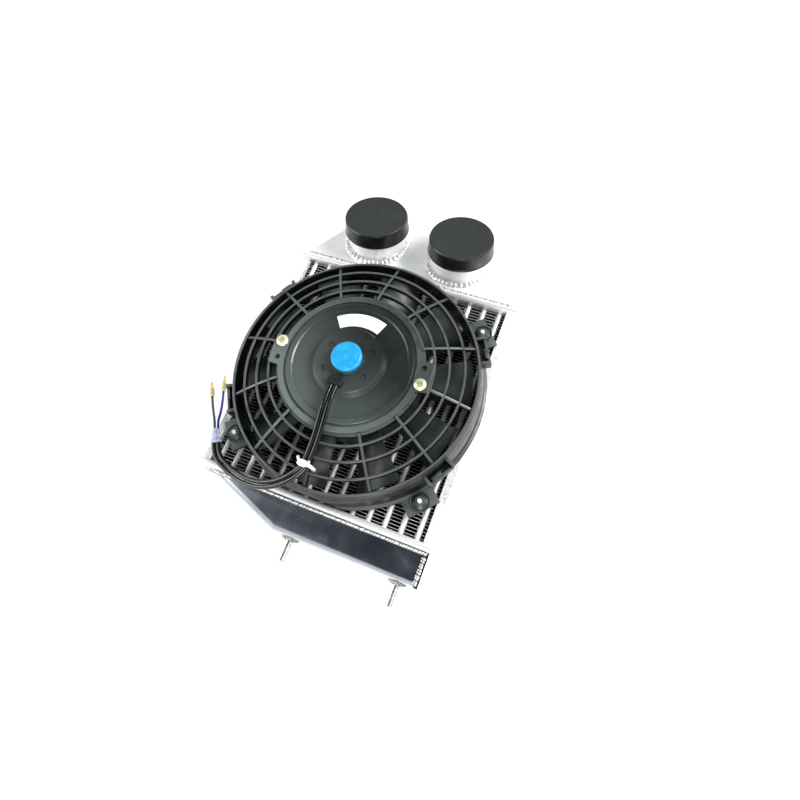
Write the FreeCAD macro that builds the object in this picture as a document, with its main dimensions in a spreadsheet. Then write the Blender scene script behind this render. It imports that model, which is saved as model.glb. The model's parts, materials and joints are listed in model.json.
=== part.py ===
import FreeCAD, Part
import math
import os
import re

import Sketcher
from FreeCAD import Placement, Rotation, Vector

# Air-cooled heat exchanger: a tube-and-fin core between two welded tanks, with an electric fan
# on its top face and two capped hose necks on the far tank.
#
# Every piece is drawn in the core's frame: X along the headers, Y from the return tank (near)
# to the port tank (far), Z up out of the fan side, with the origin at the middle of the core's
# top face. It is then placed in the part's own frame, which has its origin on the surface that
# the headers stand on, under the middle of the assembly.

SIZES = {
    # core
    "core_half_length": 98.0,
    "core_half_width": 97.0,
    "frame_depth": 110.0,
    "tube_clearance": 0.5,
    "tube_count": 14,
    "tube_pitch": 13.15,
    "tube_thickness": 4.0,
    "tube_wall": 0.5,
    "tube_overhang": 0.5,
    "braze_gap": 0.1,
    "fin_spacing": 2.6,
    "fin_sheet": 0.25,
    "fin_recess": 0.5,
    "turbulator_spacing": 4.0,
    "turbulator_sheet": 0.3,
    "side_plate_sheet": 1.5,
    "side_plate_flange": 6.0,
    # headers
    "header_half_width": 99.0,
    "header_sheet": 3.0,
    "rail_radius": 3.0,
    "rail_lift": 2.5,
    "deck_drop": 2.0,
    # tanks
    "tank_wall": 3.0,
    "tank_half_width": 98.0,
    "near_reach": 130.0,
    "near_nose": 21.0,
    "tank_foot": 8.0,
    "near_slant_start": 98.0,
    "near_slant_end": 20.0,
    "far_reach": 168.0,
    "far_nose": 34.0,
    "far_fall": 15.0,
    "far_end_half_width": 66.0,
    "tank_bend": 5.0,
    # hose necks and caps
    "neck_radius": 25.4,
    "neck_wall": 2.4,
    "neck_length": 26.5,
    "neck_half_spacing": 39.1,
    "neck_offset": -3.0,
    "neck_distance": 38.0,
    "cap_top_radius": 27.4,
    "cap_rim_radius": 28.5,
    "cap_height": 14.0,
    "cap_skin": 2.6,
    "cap_dish": 0.9,
    "cap_gap": 0.1,
    # studs
    "stud_radius": 3.0,
    "stud_foot_radius": 3.6,
    "stud_length": 18.5,
    "stud_left": 6.0,
    "stud_right": 82.0,
    "stud_drop": 11.0,
    # welds
    "seam_radius": 2.6,
    "small_seam_radius": 1.6,
    "neck_weld_width": 5.5,
    "neck_weld_height": 4.0,
    "stud_weld_radius": 8.0,
    "stud_weld_height": 3.0,
    # fan shroud and grille
    "shroud_base_radius": 101.2,
    "shroud_top_radius": 96.5,
    "shroud_height": 28.7,
    "shroud_wall": 2.2,
    "shroud_foot": 3.0,
    "shroud_flange": 6.0,
    "shroud_step": 2.4,
    "shroud_gap": 0.4,
    "dome_radius": 185.0,
    "dome_top": 53.4,
    "grille_thickness": 5.0,
    "grille_bar": 2.0,
    "grille_ring_one": 84.3,
    "grille_ring_two": 73.0,
    "grille_ring_three": 62.5,
    "hub_ring_outer": 56.5,
    "hub_ring_inner": 50.5,
    "spoke_count": 12,
    "spoke_width": 2.4,
    "lug_width": 26.0,
    "lug_reach": 114.0,
    "hook_reach": 104.5,
    "hook_width": 3.0,
    "hook_height": 9.0,
    "hook_base": 14.0,
    "hook_angle": 30.0,
    "hook_half_spread": 6.0,
    "ear_pad_width": 24.0,
    "ear_pad_depth": 5.0,
    # fixing rods through the core
    "rod_radius": 1.6,
    "rod_gap": 0.4,
    "rod_gaps_out": 6,
    "rod_half_length": 72.0,
    "rod_head_radius": 7.0,
    "rod_head": 1.8,
    "rod_end": 5.0,
    "clip_radius": 6.0,
    "clip_height": 3.0,
    # rotor
    "blade_count": 10,
    "blade_tip": 90.0,
    "blade_thickness": 1.8,
    "root_chord": 24.0,
    "root_pitch": 48.0,
    "tip_chord": 40.0,
    "tip_pitch": 24.0,
    "blade_middle": 13.5,
    "hub_outer": 52.0,
    "hub_wall": 2.5,
    "hub_bottom": 8.0,
    "hub_top": 32.0,
    "hub_boss_radius": 12.0,
    "hub_boss_bottom": 5.5,
    "nut_width": 13.0,
    "nut_height": 3.2,
    # motor
    "shaft_radius": 4.0,
    "shaft_bottom": 1.5,
    "shaft_top": 50.6,
    "running_gap": 0.05,
    "can_radius": 46.0,
    "can_wall": 2.0,
    "can_bottom": 13.0,
    "flange_seat": 43.2,
    "flange_radius": 54.0,
    "flange_thickness": 2.4,
    "flange_lip": 0.8,
    "groove_outer": 50.0,
    "ridge_outer": 48.0,
    "ridge_height": 1.0,
    "ear_reach": 62.0,
    "ear_half_angle": 14.0,
    "ear_turn": 6.75,
    "screw_circle": 55.5,
    "screw_radius": 2.0,
    "screw_length": 6.0,
    "screw_head_radius": 4.6,
    "screw_head_height": 2.6,
    "cover_sheet": 1.8,
    "disc_radius": 25.2,
    "disc_foot_radius": 27.7,
    "disc_top": 50.0,
    "boss_radius": 12.6,
    "boss_top": 53.0,
    "dimple_circle": 18.2,
    "cross_length": 5.0,
    "cross_width": 1.0,
    "magnet_spacing": 9.0,
    "spring_length": 5.0,
    "spring_sheet": 0.4,
    "label_start": 68,
    "label_end": 127,
    "tie_offset": 1.5,
    "tie_depth": 11.5,
    "tie_head_width": 5.0,
    "tie_head_height": 4.0,
    "tie_tail_length": 7.0,
    "tie_tail_width": 1.8,
    "dimple_radius": 2.5,
    "bearing_radius": 8.0,
    "bearing_length": 5.0,
    "magnet_thickness": 7.5,
    "magnet_bottom": 20.0,
    "magnet_top": 34.0,
    "air_gap": 0.8,
    "armature_bottom": 22.0,
    "armature_top": 32.0,
    "armature_slots": 12,
    "slot_width": 6.0,
    "winding_gap": 0.2,
    "winding_inner": 11.0,
    "winding_overhang": 2.4,
    "commutator_radius": 8.5,
    "commutator_bottom": 35.0,
    "commutator_top": 42.0,
    "card_bottom": 36.4,
    "card_thickness": 1.6,
    "brush_width": 6.0,
    "brush_height": 3.6,
    "brush_length": 9.0,
    "dust_cap_radius": 11.3,
    "dust_cap_height": 4.4,
    "dust_cap_spigot": 8.8,
    "label_inner": 29.5,
    "label_outer": 40.0,
    "label_sheet": 0.15,
    "grommet_width": 11.0,
    "grommet_length": 7.0,
    "grommet_height": 5.0,
    # lead
    "sleeve_radius": 1.75,
    "sleeve_half_spacing": 1.9,
    "wire_radius": 1.0,
    "wire_half_spacing": 1.4,
    "wire_lead_out": 7.0,
    "collar_radius": 4.0,
    "collar_length": 12.0,
    "terminal_radius": 2.2,
    "pin_radius": 1.1,
    "terminal_sleeve": 11.0,
    "terminal_length": 20.0,
    "tie_width": 2.6,
    "tie_sheet": 1.1,
    "tie_gap": 1.4,
}

# The lead's route from the motor's grommet to its collar, and the two wires' routes from a
# short straight lead-out at the collar to their terminals, all in the core's frame.
TIE_POINT = 5
LEAD_ROUTE = [
    (-1.3, -22.0, 52.3),
    (-1.3, -32.0, 52.3),
    (-0.2, -45.0, 50.6),
    (0.8, -58.0, 47.9),
    (0.4, -70.0, 43.9),
    (-1.4, -82.0, 38.9),
    (-9.5, -92.0, 34.5),
    (-20.5, -99.5, 28.5),
    (-34.0, -103.8, 21.5),
    (-48.0, -104.4, 14.8),
    (-60.0, -103.0, 9.6),
    (-70.5, -100.0, 8.1),
    (-79.5, -96.4, 7.2),
    (-86.0, -91.0, 6.5),
    (-89.3, -85.0, 6.1),
]
BLACK_ROUTE = [
    (-104.5, -64.0, 2.4),
    (-111.5, -57.0, -1.6),
    (-119.0, -48.8, -6.8),
]
BLUE_ROUTE = [
    (-100.0, -60.2, 2.2),
    (-105.2, -51.2, -2.0),
    (-111.8, -41.6, -7.0),
]

doc = FreeCAD.newDocument("Heat_exchanger")
sheet = doc.addObject("Spreadsheet::Sheet", "Dimensions")
for row, (alias, size) in enumerate(SIZES.items(), start=1):
    sheet.set("A%d" % row, alias)
    sheet.set("B%d" % row, str(size))
    sheet.setAlias("B%d" % row, alias)
doc.recompute()

nodes = []


# ---------------------------------------------------------------- sizes and expressions

def in_sheet(text):
    """An expression on the sheet's aliases, in the form that setExpression takes."""
    def qualified(word):
        return "Dimensions." + word.group(0) if word.group(0) in SIZES else word.group(0)
    return re.sub(r"[a-z][a-z_]*", qualified, str(text))


def size(text):
    """The number that an expression on the sheet's aliases gives."""
    value = sheet.evalExpression(in_sheet(text).replace("Dimensions.", ""))
    return float(getattr(value, "Value", value))


def bind(thing, name, text):
    thing.setExpression(name, in_sheet(text))


# Expressions that several pieces share.
RAIL_CENTRE = "core_half_length + header_sheet"
DECK = "rail_lift - deck_drop"
KEEL = "-frame_depth - rail_lift + deck_drop"
CORE_TOP = "(rail_lift - deck_drop - tank_wall - tube_clearance)"
CORE_LOW = "(deck_drop + tank_wall + tube_clearance - frame_depth - rail_lift)"
FLOOR = "-frame_depth - rail_lift"
FAR_EDGE = "(%s - (far_reach - core_half_length - header_sheet) * tan(far_fall))" % DECK
CAP_TOP = "(neck_length + cap_gap + cap_skin)"

fall = math.radians(size("far_fall"))
neck_foot_y = size(RAIL_CENTRE) + size("neck_distance") * math.cos(fall)
neck_foot_z = size(DECK) - size("neck_distance") * math.sin(fall)
cap_back = neck_foot_y + size(CAP_TOP) * math.sin(fall) + size("cap_top_radius") * math.cos(fall)
front = size("near_reach + stud_length")
back = max(cap_back, size("far_reach"))
ROW = Placement(Vector(0, (front - back) / 2, -size(FLOOR)), Rotation())


def neck_frame(side):
    """The frame of one hose neck: its foot on the sloped deck, Z along its axis."""
    x = side * size("neck_half_spacing") + size("neck_offset")
    foot = Vector(x, neck_foot_y, neck_foot_z)
    return ROW * Placement(foot, Rotation(Vector(1, 0, 0), -size("far_fall")))


# ---------------------------------------------------------------- building blocks

def keep(thing, label):
    """Registers a sub-part under the name of its node."""
    thing.Label = label
    nodes.append(thing)
    return thing


def body(name, frame=ROW, compound=False):
    piece = doc.addObject("PartDesign::Body", name)
    piece.AllowCompound = compound
    piece.Placement = frame
    return piece


def sketch_on(piece, role, offset="0"):
    sketch = piece.newObject("Sketcher::SketchObject", piece.Name + "_sketch")
    plane = [item for item in piece.Origin.OriginFeatures if item.Role == role][0]
    sketch.AttachmentSupport = [(plane, "")]
    sketch.MapMode = "FlatFace"
    bind(sketch, ".AttachmentOffset.Base.z", offset)
    return sketch


def draw_outline(sketch, corners):
    """A closed outline whose corners are pairs of expressions."""
    first = sketch.GeometryCount
    points = [Vector(size(x), size(y), 0) for x, y in corners]
    count = len(points)
    for index, point in enumerate(points):
        sketch.addGeometry(Part.LineSegment(point, points[(index + 1) % count]), False)
    for index in range(count):
        after = first + (index + 1) % count
        sketch.addConstraint(Sketcher.Constraint("Coincident", first + index, 2, after, 1))
    for index, corner in enumerate(corners):
        for kind, text in zip(("DistanceX", "DistanceY"), corner):
            limit = Sketcher.Constraint(kind, -1, 1, first + index, 1, size(text))
            bind(sketch, "Constraints[%d]" % sketch.addConstraint(limit), text)


def draw_circle(sketch, x, y, radius):
    circle = Part.Circle(Vector(size(x), size(y), 0), Vector(0, 0, 1), size(radius))
    index = sketch.addGeometry(circle, False)
    for kind, text in (("DistanceX", x), ("DistanceY", y)):
        limit = Sketcher.Constraint(kind, -1, 1, index, 3, size(text))
        bind(sketch, "Constraints[%d]" % sketch.addConstraint(limit), text)
    limit = Sketcher.Constraint("Radius", index, size(radius))
    bind(sketch, "Constraints[%d]" % sketch.addConstraint(limit), radius)


def pad(piece, sketch, length, symmetric=False):
    feature = piece.newObject("PartDesign::Pad", piece.Name + "_pad")
    feature.Profile = sketch
    feature.SideType = "Symmetric" if symmetric else "One side"
    bind(feature, "Length", length)
    return feature


def prism(label, role, corners, length, offset="0", symmetric=False, frame=ROW):
    """A body with one outline pushed along the normal of an origin plane."""
    piece = body(label, frame)
    sketch = sketch_on(piece, role, offset)
    draw_outline(sketch, corners)
    pad(piece, sketch, length, symmetric)
    return piece


def turned(label, profile, frame=ROW):
    """A body turned about Z from a closed profile of (radius, height) expressions."""
    piece = body(label, frame)
    sketch = sketch_on(piece, "XZ_Plane")
    draw_outline(sketch, profile)
    feature = piece.newObject("PartDesign::Revolution", label + "_turn")
    feature.Profile = sketch
    feature.ReferenceAxis = (sketch, ["V_Axis"])
    feature.Angle = 360
    return piece


def ring(label, inner, outer, low, high, frame=ROW):
    return turned(label, [(inner, low), (outer, low), (outer, high), (inner, high)], frame)


def box(x_size, y_size, z_size, corner, frame=ROW, turn=0):
    """A box from its sizes and its lowest corner, turned about Z after that."""
    piece = doc.addObject("Part::Box", "Box")
    for name, text in zip(("Length", "Width", "Height"), (x_size, y_size, z_size)):
        bind(piece, name, text)
    lowest = Vector(*[size(text) for text in corner])
    spin = Rotation(Vector(0, 0, 1), turn)
    piece.Placement = frame * Placement(Vector(), spin) * Placement(lowest, Rotation())
    return piece


def cylinder(radius, height, base, axis=(0, 0, 1), frame=ROW):
    piece = doc.addObject("Part::Cylinder", "Cylinder")
    bind(piece, "Radius", radius)
    bind(piece, "Height", height)
    place = Vector(*[size(text) for text in base])
    piece.Placement = frame * Placement(place, Rotation(Vector(0, 0, 1), Vector(*axis)))
    return piece


def sphere(radius, centre):
    piece = doc.addObject("Part::Sphere", "Sphere")
    bind(piece, "Radius", radius)
    piece.Placement = ROW * Placement(Vector(*[size(text) for text in centre]), Rotation())
    return piece


def fused(things):
    join = doc.addObject("Part::MultiFuse", "Fusion")
    join.Shapes = things
    return join


def cut(base, tool):
    result = doc.addObject("Part::Cut", "Cut")
    result.Base = base
    result.Tool = tool
    return result


def common(base, tool):
    result = doc.addObject("Part::Common", "Common")
    result.Base = base
    result.Tool = tool
    return result


def group(label, things):
    result = doc.addObject("Part::Compound", label)
    result.Links = things
    return keep(result, label)


def feature(label, shape, frame=ROW):
    piece = doc.addObject("Part::Feature", label)
    piece.Shape = shape
    piece.Placement = frame
    return piece


def around(count, first=0):
    return [first + 360 / count * index for index in range(count)]


def ribbon(path, thickness):
    """The outline of a bent sheet: a path of (x, y) points offset by half its thickness each way."""
    left, right = [], []
    for index, point in enumerate(path):
        before = path[max(index - 1, 0)]
        after = path[min(index + 1, len(path) - 1)]
        normals = []
        for start, end in ((before, point), (point, after)):
            run = math.dist(start, end)
            if run > 0:
                normals.append(((start[1] - end[1]) / run, (end[0] - start[0]) / run))
        across = [sum(item[axis] for item in normals) / len(normals) for axis in (0, 1)]
        reach = thickness / 2 / (across[0] ** 2 + across[1] ** 2)
        left.append((point[0] + across[0] * reach, point[1] + across[1] * reach))
        right.append((point[0] - across[0] * reach, point[1] - across[1] * reach))
    return left + right[::-1]


def square_wave(low, high, spacing, width, thickness):
    """A path that crosses a gap of the given width to and fro, one leg each spacing."""
    legs = int((high - low - thickness) / spacing)
    start = (low + high - legs * spacing) / 2
    reach = (width - thickness) / 2
    path = []
    for leg in range(legs + 1):
        side = reach if leg % 2 else -reach
        path += [(side, start + leg * spacing), (-side, start + leg * spacing)]
    return path


# ---------------------------------------------------------------- core

def tube_centres():
    middle = (size("tube_count") - 1) / 2
    return [(index - middle) * size("tube_pitch") for index in range(int(size("tube_count")))]


def flat_section(radius, low, high, y):
    """The face of a flat tube's section: straight sides and half-round ends."""
    left_low = Vector(-radius, y, low + radius)
    right_low = Vector(radius, y, low + radius)
    right_high = Vector(radius, y, high - radius)
    left_high = Vector(-radius, y, high - radius)
    edges = [
        Part.Arc(left_low, Vector(0, y, low), right_low).toShape(),
        Part.LineSegment(right_low, right_high).toShape(),
        Part.Arc(right_high, Vector(0, y, high), left_high).toShape(),
        Part.LineSegment(left_high, left_low).toShape(),
    ]
    return Part.Face(Part.Wire(edges))


def flat_bar(radius, low, high, reach):
    return flat_section(radius, low, high, -reach).extrude(Vector(0, 2 * reach, 0))


def copies(shape, centres):
    return Part.makeCompound([shape.translated(Vector(x, 0, 0)) for x in centres])


def make_tubes():
    radius = size("tube_thickness / 2")
    wall = size("tube_wall")
    low, high = size(CORE_LOW), size(CORE_TOP)
    reach = size("core_half_length + header_sheet + tube_overhang")
    outside = flat_bar(radius, low, high, reach)
    inside = flat_bar(radius - wall, low + wall, high - wall, reach + 1)
    keep(feature("tubes", copies(outside.cut(inside), tube_centres())), "tubes")


def make_turbulators():
    inner = size("tube_thickness - 2 * tube_wall")
    reach = size("core_half_length + header_sheet")
    thickness = size("turbulator_sheet")
    low = size(CORE_LOW) + inner / 2 + size("tube_wall")
    high = size(CORE_TOP) - inner / 2 - size("tube_wall")
    path = square_wave(low, high, size("turbulator_spacing"), inner, thickness)
    corners = [Vector(x, -reach, z) for x, z in ribbon(path, thickness)]
    face = Part.Face(Part.makePolygon(corners + corners[:1]))
    strip = face.extrude(Vector(0, 2 * reach, 0))
    keep(feature("turbulators", copies(strip, tube_centres())), "turbulators")


def fin_strip(width):
    reach = size("core_half_length - fin_recess")
    thickness = size("fin_sheet")
    low = size(CORE_LOW + " + fin_recess")
    path = square_wave(-reach, reach, size("fin_spacing"), width, thickness)
    corners = [Vector(x, y, low) for x, y in ribbon(path, thickness)]
    face = Part.Face(Part.makePolygon(corners + corners[:1]))
    return face.extrude(Vector(0, 0, size(CORE_TOP + " - fin_recess") - low))


def rod_places():
    x = size("rod_gaps_out * tube_pitch")
    y = size("rod_half_length")
    return [Vector(x * i, y * j, 0) for i in (-1, 1) for j in (-1, 1)]


def make_air_fins():
    pitch = size("tube_pitch")
    outer_tube = (size("tube_count") - 1) / 2 * pitch + size("tube_thickness / 2")
    side_gap = size("core_half_width - side_plate_flange") - outer_tube
    inner = fin_strip(size("tube_pitch - tube_thickness"))
    outer = fin_strip(side_gap)
    foot = Vector(0, 0, size("frame_depth"))
    strips = []
    for middle in [x + pitch / 2 for x in tube_centres()[:-1]]:
        strip = inner.translated(Vector(middle, 0, 0))
        for place in rod_places():
            if abs(place.x - middle) < pitch / 2:
                hole = Part.makeCylinder(size("rod_radius + rod_gap"), foot.z, place - foot)
                strip = strip.cut(hole)
        strips += strip.Solids
    for side in (-1, 1):
        strips.append(outer.translated(Vector(side * (outer_tube + side_gap / 2), 0, 0)))
    keep(feature("air_fins", Part.makeCompound(strips)), "air_fins")


def make_side_plate(label, side):
    outer = "%d * core_half_width" % side
    web = "%d * (core_half_width - side_plate_flange)" % side
    inner = "%d * (core_half_width - side_plate_flange + side_plate_sheet)" % side
    corners = [
        (web, "0"), (outer, "0"), (outer, "-side_plate_sheet"), (inner, "-side_plate_sheet"),
        (inner, "side_plate_sheet - frame_depth"), (outer, "side_plate_sheet - frame_depth"),
        (outer, "-frame_depth"), (web, "-frame_depth"),
    ]
    keep(prism(label, "XZ_Plane", corners, "2 * core_half_length", symmetric=True), label)


def make_header(label, side):
    """A plate across the tube ends with a round rail along its top and bottom edges."""
    inner = "%d * core_half_length" % side
    outer = "%d * (%s)" % (side, RAIL_CENTRE)
    top_rail = "rail_lift - rail_radius"
    low_rail = "-frame_depth - rail_lift + rail_radius"
    plate = body(label + "_blank")
    sketch = sketch_on(plate, "YZ_Plane")
    draw_outline(sketch, [(inner, low_rail), (outer, low_rail), (outer, top_rail), (inner, top_rail)])
    pad(plate, sketch, "2 * header_half_width", symmetric=True)
    for height in (top_rail, low_rail):
        sketch = sketch_on(plate, "YZ_Plane")
        draw_circle(sketch, outer, height, "rail_radius")
        pad(plate, sketch, "2 * header_half_width", symmetric=True)
    gap = size("braze_gap")
    slot = flat_bar(size("tube_thickness / 2") + gap, size(CORE_LOW) - gap, size(CORE_TOP) + gap,
                    size("near_reach"))
    slots = feature(label + "_slots", copies(slot, tube_centres()))
    return keep(cut(plate, slots), label)


# ---------------------------------------------------------------- tanks

def tank_profile(side, reach, crown, nose):
    """A tank's side view: deck, nose, the slope back, and a level foot by the header."""
    return [
        ("%d * (%s)" % (side, RAIL_CENTRE), DECK),
        ("%d * %s" % (side, reach), crown),
        ("%d * %s" % (side, reach), "%s - %s" % (crown, nose)),
        ("%d * (%s + tank_foot)" % (side, RAIL_CENTRE), KEEL),
        ("%d * (%s)" % (side, RAIL_CENTRE), KEEL),
    ]


def edges_where(shape, test):
    """The names of a shape's straight edges whose middle and direction pass the test."""
    found = []
    for index, edge in enumerate(shape.Edges, start=1):
        along = edge.Vertexes[-1].Point - edge.Vertexes[0].Point
        if test(edge.CenterOfMass, along.normalize()):
            found.append("Edge%d" % index)
    return found


def fillet(piece, names, radius):
    base = piece.Tip
    rounded = piece.newObject("PartDesign::Fillet", piece.Name + "_bends")
    rounded.Base = (base, names)
    bind(rounded, "Radius", radius)
    doc.recompute()


def hollow(piece, test):
    """Makes a body a shell of the tank's wall, open at the faces that pass the test."""
    base = piece.Tip
    names = ["Face%d" % (index + 1) for index, face in enumerate(base.Shape.Faces)
             if test(face.CenterOfMass)]
    shell = piece.newObject("PartDesign::Thickness", piece.Name + "_shell")
    shell.Base = (base, names)
    shell.Mode = "Skin"
    shell.Join = "Intersection"
    shell.Reversed = True
    bind(shell, "Value", "tank_wall")
    doc.recompute()


def trim(piece, corners):
    """Takes a plan outline out of a body, right through it."""
    sketch = sketch_on(piece, "XY_Plane")
    draw_outline(sketch, corners)
    pocket = piece.newObject("PartDesign::Pocket", piece.Name + "_trim")
    pocket.Profile = sketch
    pocket.SideType = "Symmetric"
    bind(pocket, "Length", "4 * frame_depth")
    doc.recompute()


def make_near_tank(header):
    end = "tank_half_width - tank_wall"
    piece = body("near_tank_blank")
    sketch = sketch_on(piece, "YZ_Plane", "-tank_half_width")
    draw_outline(sketch, tank_profile(-1, "near_reach", DECK, "near_nose"))
    pad(piece, sketch, "tank_half_width + " + end)
    doc.recompute()
    trim(piece, [
        ("-2 * tank_half_width", "-core_half_length - header_sheet"),
        ("-near_slant_start", "-core_half_length - header_sheet"),
        ("-near_slant_end", "-near_reach"),
        ("-near_slant_end", "-2 * near_reach"),
        ("-2 * tank_half_width", "-2 * near_reach"),
    ])
    nose = -size("near_reach")
    slant_middle = -size("(near_slant_start + near_slant_end) / 2")

    def bent(middle, along):
        on_deck = abs(middle.z - size(DECK)) < 0.01
        level = abs(along.z) < 0.01
        nose_edge = level and abs(middle.y - nose) < 0.01 and on_deck
        slant_edge = level and on_deck and abs(middle.x - slant_middle) < 0.5
        corner = abs(along.z) > 0.99 and abs(middle.x + size("near_slant_end")) < 0.01
        return nose_edge or slant_edge or corner

    mouth = -size(RAIL_CENTRE)
    hollow(piece, lambda middle: abs(middle.y - mouth) < 0.01 or abs(middle.x - size(end)) < 0.01)
    fillet(piece, edges_where(piece.Tip.Shape, bent), "tank_bend")
    return keep(cut(piece, header), "near_tank")


def make_near_end_plate(header):
    plate = prism("near_end_blank", "YZ_Plane", tank_profile(-1, "near_reach", DECK, "near_nose"),
                  "tank_wall", offset="tank_half_width - tank_wall")
    return keep(cut(plate, header), "near_end_plate")


def far_profile():
    return tank_profile(1, "far_reach", FAR_EDGE, "far_nose")


def make_far_tank(header):
    piece = body("far_tank_blank")
    sketch = sketch_on(piece, "YZ_Plane")
    draw_outline(sketch, far_profile())
    pad(piece, sketch, "2 * tank_half_width", symmetric=True)
    doc.recompute()
    for side in (-1, 1):
        trim(piece, [
            ("%d * tank_half_width" % side, "core_half_length + header_sheet"),
            ("%d * far_end_half_width" % side, "far_reach"),
            ("%d * far_end_half_width" % side, "2 * far_reach"),
            ("%d * 2 * tank_half_width" % side, "2 * far_reach"),
            ("%d * 2 * tank_half_width" % side, "core_half_length + header_sheet"),
        ])
    rear = size("far_reach")
    crown = size(FAR_EDGE)

    def bent(middle, along):
        return abs(middle.y - rear) < 0.01 and abs(middle.z - crown) < 0.01 and abs(along.z) < 0.01

    mouth = size(RAIL_CENTRE)
    hollow(piece, lambda middle: abs(middle.y - mouth) < 0.01)
    fillet(piece, edges_where(piece.Tip.Shape, bent), "tank_bend")
    holes = [cylinder("neck_radius + braze_gap", "4 * tank_wall", ("0", "0", "-2 * tank_wall"),
                      frame=neck_frame(side)) for side in (-1, 1)]
    return keep(cut(piece, fused(holes + [header])), "far_tank")


def make_far_baffle(tank, header):
    """The plate that splits the port tank between its two necks: the cavity's own outline."""
    doc.recompute()
    corners = [Vector(0, size(y), size(z)) for y, z in far_profile()]
    outline = Part.makePolygon(corners + corners[:1]).makeOffset2D(-size("tank_wall") / 2)
    half = size("tank_wall") / 2
    left = size("neck_offset") - half
    slab = Part.Face(outline).extrude(Vector(2 * half, 0, 0)).translated(Vector(left, 0, 0))
    slab.Placement = ROW * slab.Placement
    mouth = Part.makeBox(2 * half, 2 * half, size("frame_depth"),
                         ROW.Base + Vector(left, size(RAIL_CENTRE), -size("frame_depth")))
    plate = slab.fuse(mouth).removeSplitter()
    plate = plate.cut([tank.Shape, header.Shape])
    solid = max(plate.Solids, key=lambda item: item.Volume)
    keep(feature("far_baffle", solid, Placement()), "far_baffle")


# ---------------------------------------------------------------- hose necks, caps and studs

def make_neck(label, side):
    keep(ring(label, "neck_radius - neck_wall", "neck_radius", "-tank_wall", "neck_length",
              frame=neck_frame(side)), label)


def make_cap(label, side):
    """A push-on cap: a dished top on a skirt that flares to its rim."""
    skirt = "neck_radius + cap_gap"
    under = "neck_length + cap_gap"
    profile = [
        ("0", under), (skirt, under), (skirt, CAP_TOP + " - cap_height"),
        ("cap_rim_radius - 0.4", CAP_TOP + " - cap_height"),
        ("cap_rim_radius", CAP_TOP + " - cap_height + 0.8"),
        ("cap_top_radius", CAP_TOP + " - 0.6"), ("cap_top_radius - 0.6", CAP_TOP),
        ("cap_top_radius - 2.5", CAP_TOP + " - cap_dish"), ("0", CAP_TOP + " - cap_dish"),
    ]
    keep(turned(label, profile, frame=neck_frame(side)), label)


def make_neck_weld(label, side):
    foot = "neck_radius"
    keep(turned(label, [
        (foot, "0"), (foot + " + neck_weld_width", "0"),
        (foot + " + 0.8 * neck_weld_width", "0.3 * neck_weld_height"),
        (foot + " + 0.4 * neck_weld_width", "0.75 * neck_weld_height"),
        (foot, "neck_weld_height"),
    ], frame=neck_frame(side)), label)


def stud_frame(x):
    foot = Vector(size(x), -size("near_reach"), size(DECK + " - stud_drop"))
    return ROW * Placement(foot, Rotation(Vector(1, 0, 0), 90))


def make_stud(label, x):
    chamfer = "0.6"
    keep(turned(label, [
        ("0", "0"), ("stud_foot_radius", "0"), ("stud_foot_radius", "stud_weld_height"),
        ("stud_radius", "stud_weld_height"), ("stud_radius", "stud_length - " + chamfer),
        ("stud_radius - " + chamfer, "stud_length"), ("0", "stud_length"),
    ], frame=stud_frame(x)), label)


def make_stud_weld(label, x):
    keep(turned(label, [
        ("stud_foot_radius", "0"), ("stud_weld_radius", "0"),
        ("0.75 * stud_weld_radius", "0.45 * stud_weld_height"),
        ("0.55 * stud_weld_radius", "stud_weld_height"), ("stud_foot_radius", "stud_weld_height"),
    ], frame=stud_frame(x)), label)


def seam(radius, start, end):
    """A straight weld bead, before it is trimmed to the pieces that it joins."""
    first = Vector(*[size(text) for text in start])
    last = Vector(*[size(text) for text in end])
    bead = doc.addObject("Part::Cylinder", "Bead")
    bind(bead, "Radius", radius)
    bead.Height = (last - first).Length
    bead.Placement = ROW * Placement(first, Rotation(Vector(0, 0, 1), last - first))
    return bead


def make_welds(label, beads, parents):
    """Weld beads, each cut back to the faces of the pieces that it joins."""
    parts = [cut(bead, fused(parents)) for bead in beads]
    group(label, parts)


def make_seams(header_near, near_tank, near_end, header_far, far_tank):
    rail = "(%s)" % RAIL_CENTRE
    edge = "(%s + rail_radius + 0.8)" % RAIL_CENTRE
    deck_seam = DECK + " + 0.2"
    low = KEEL + " + 5"
    high = DECK + " - 5"
    plate = "tank_half_width - tank_wall"
    make_welds("near_welds", [
        seam("seam_radius", ("-near_slant_start + 8", "-" + edge, deck_seam),
             ("tank_half_width - 1", "-" + edge, deck_seam)),
        seam("small_seam_radius", (plate, "-%s - 3" % edge, DECK), (plate, "-near_reach + 2", DECK)),
        seam("small_seam_radius", ("tank_half_width", "-" + rail, low),
             ("tank_half_width", "-" + rail, high)),
    ], [header_near, near_tank, near_end])
    make_welds("far_welds", [
        seam("seam_radius", ("-tank_half_width + 3", edge, deck_seam),
             ("tank_half_width - 3", edge, deck_seam)),
        seam("small_seam_radius", ("-tank_half_width", rail, low), ("-tank_half_width", rail, high)),
        seam("small_seam_radius", ("tank_half_width", rail, low), ("tank_half_width", rail, high)),
    ], [header_far, far_tank])


# ---------------------------------------------------------------- fan shroud

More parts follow.
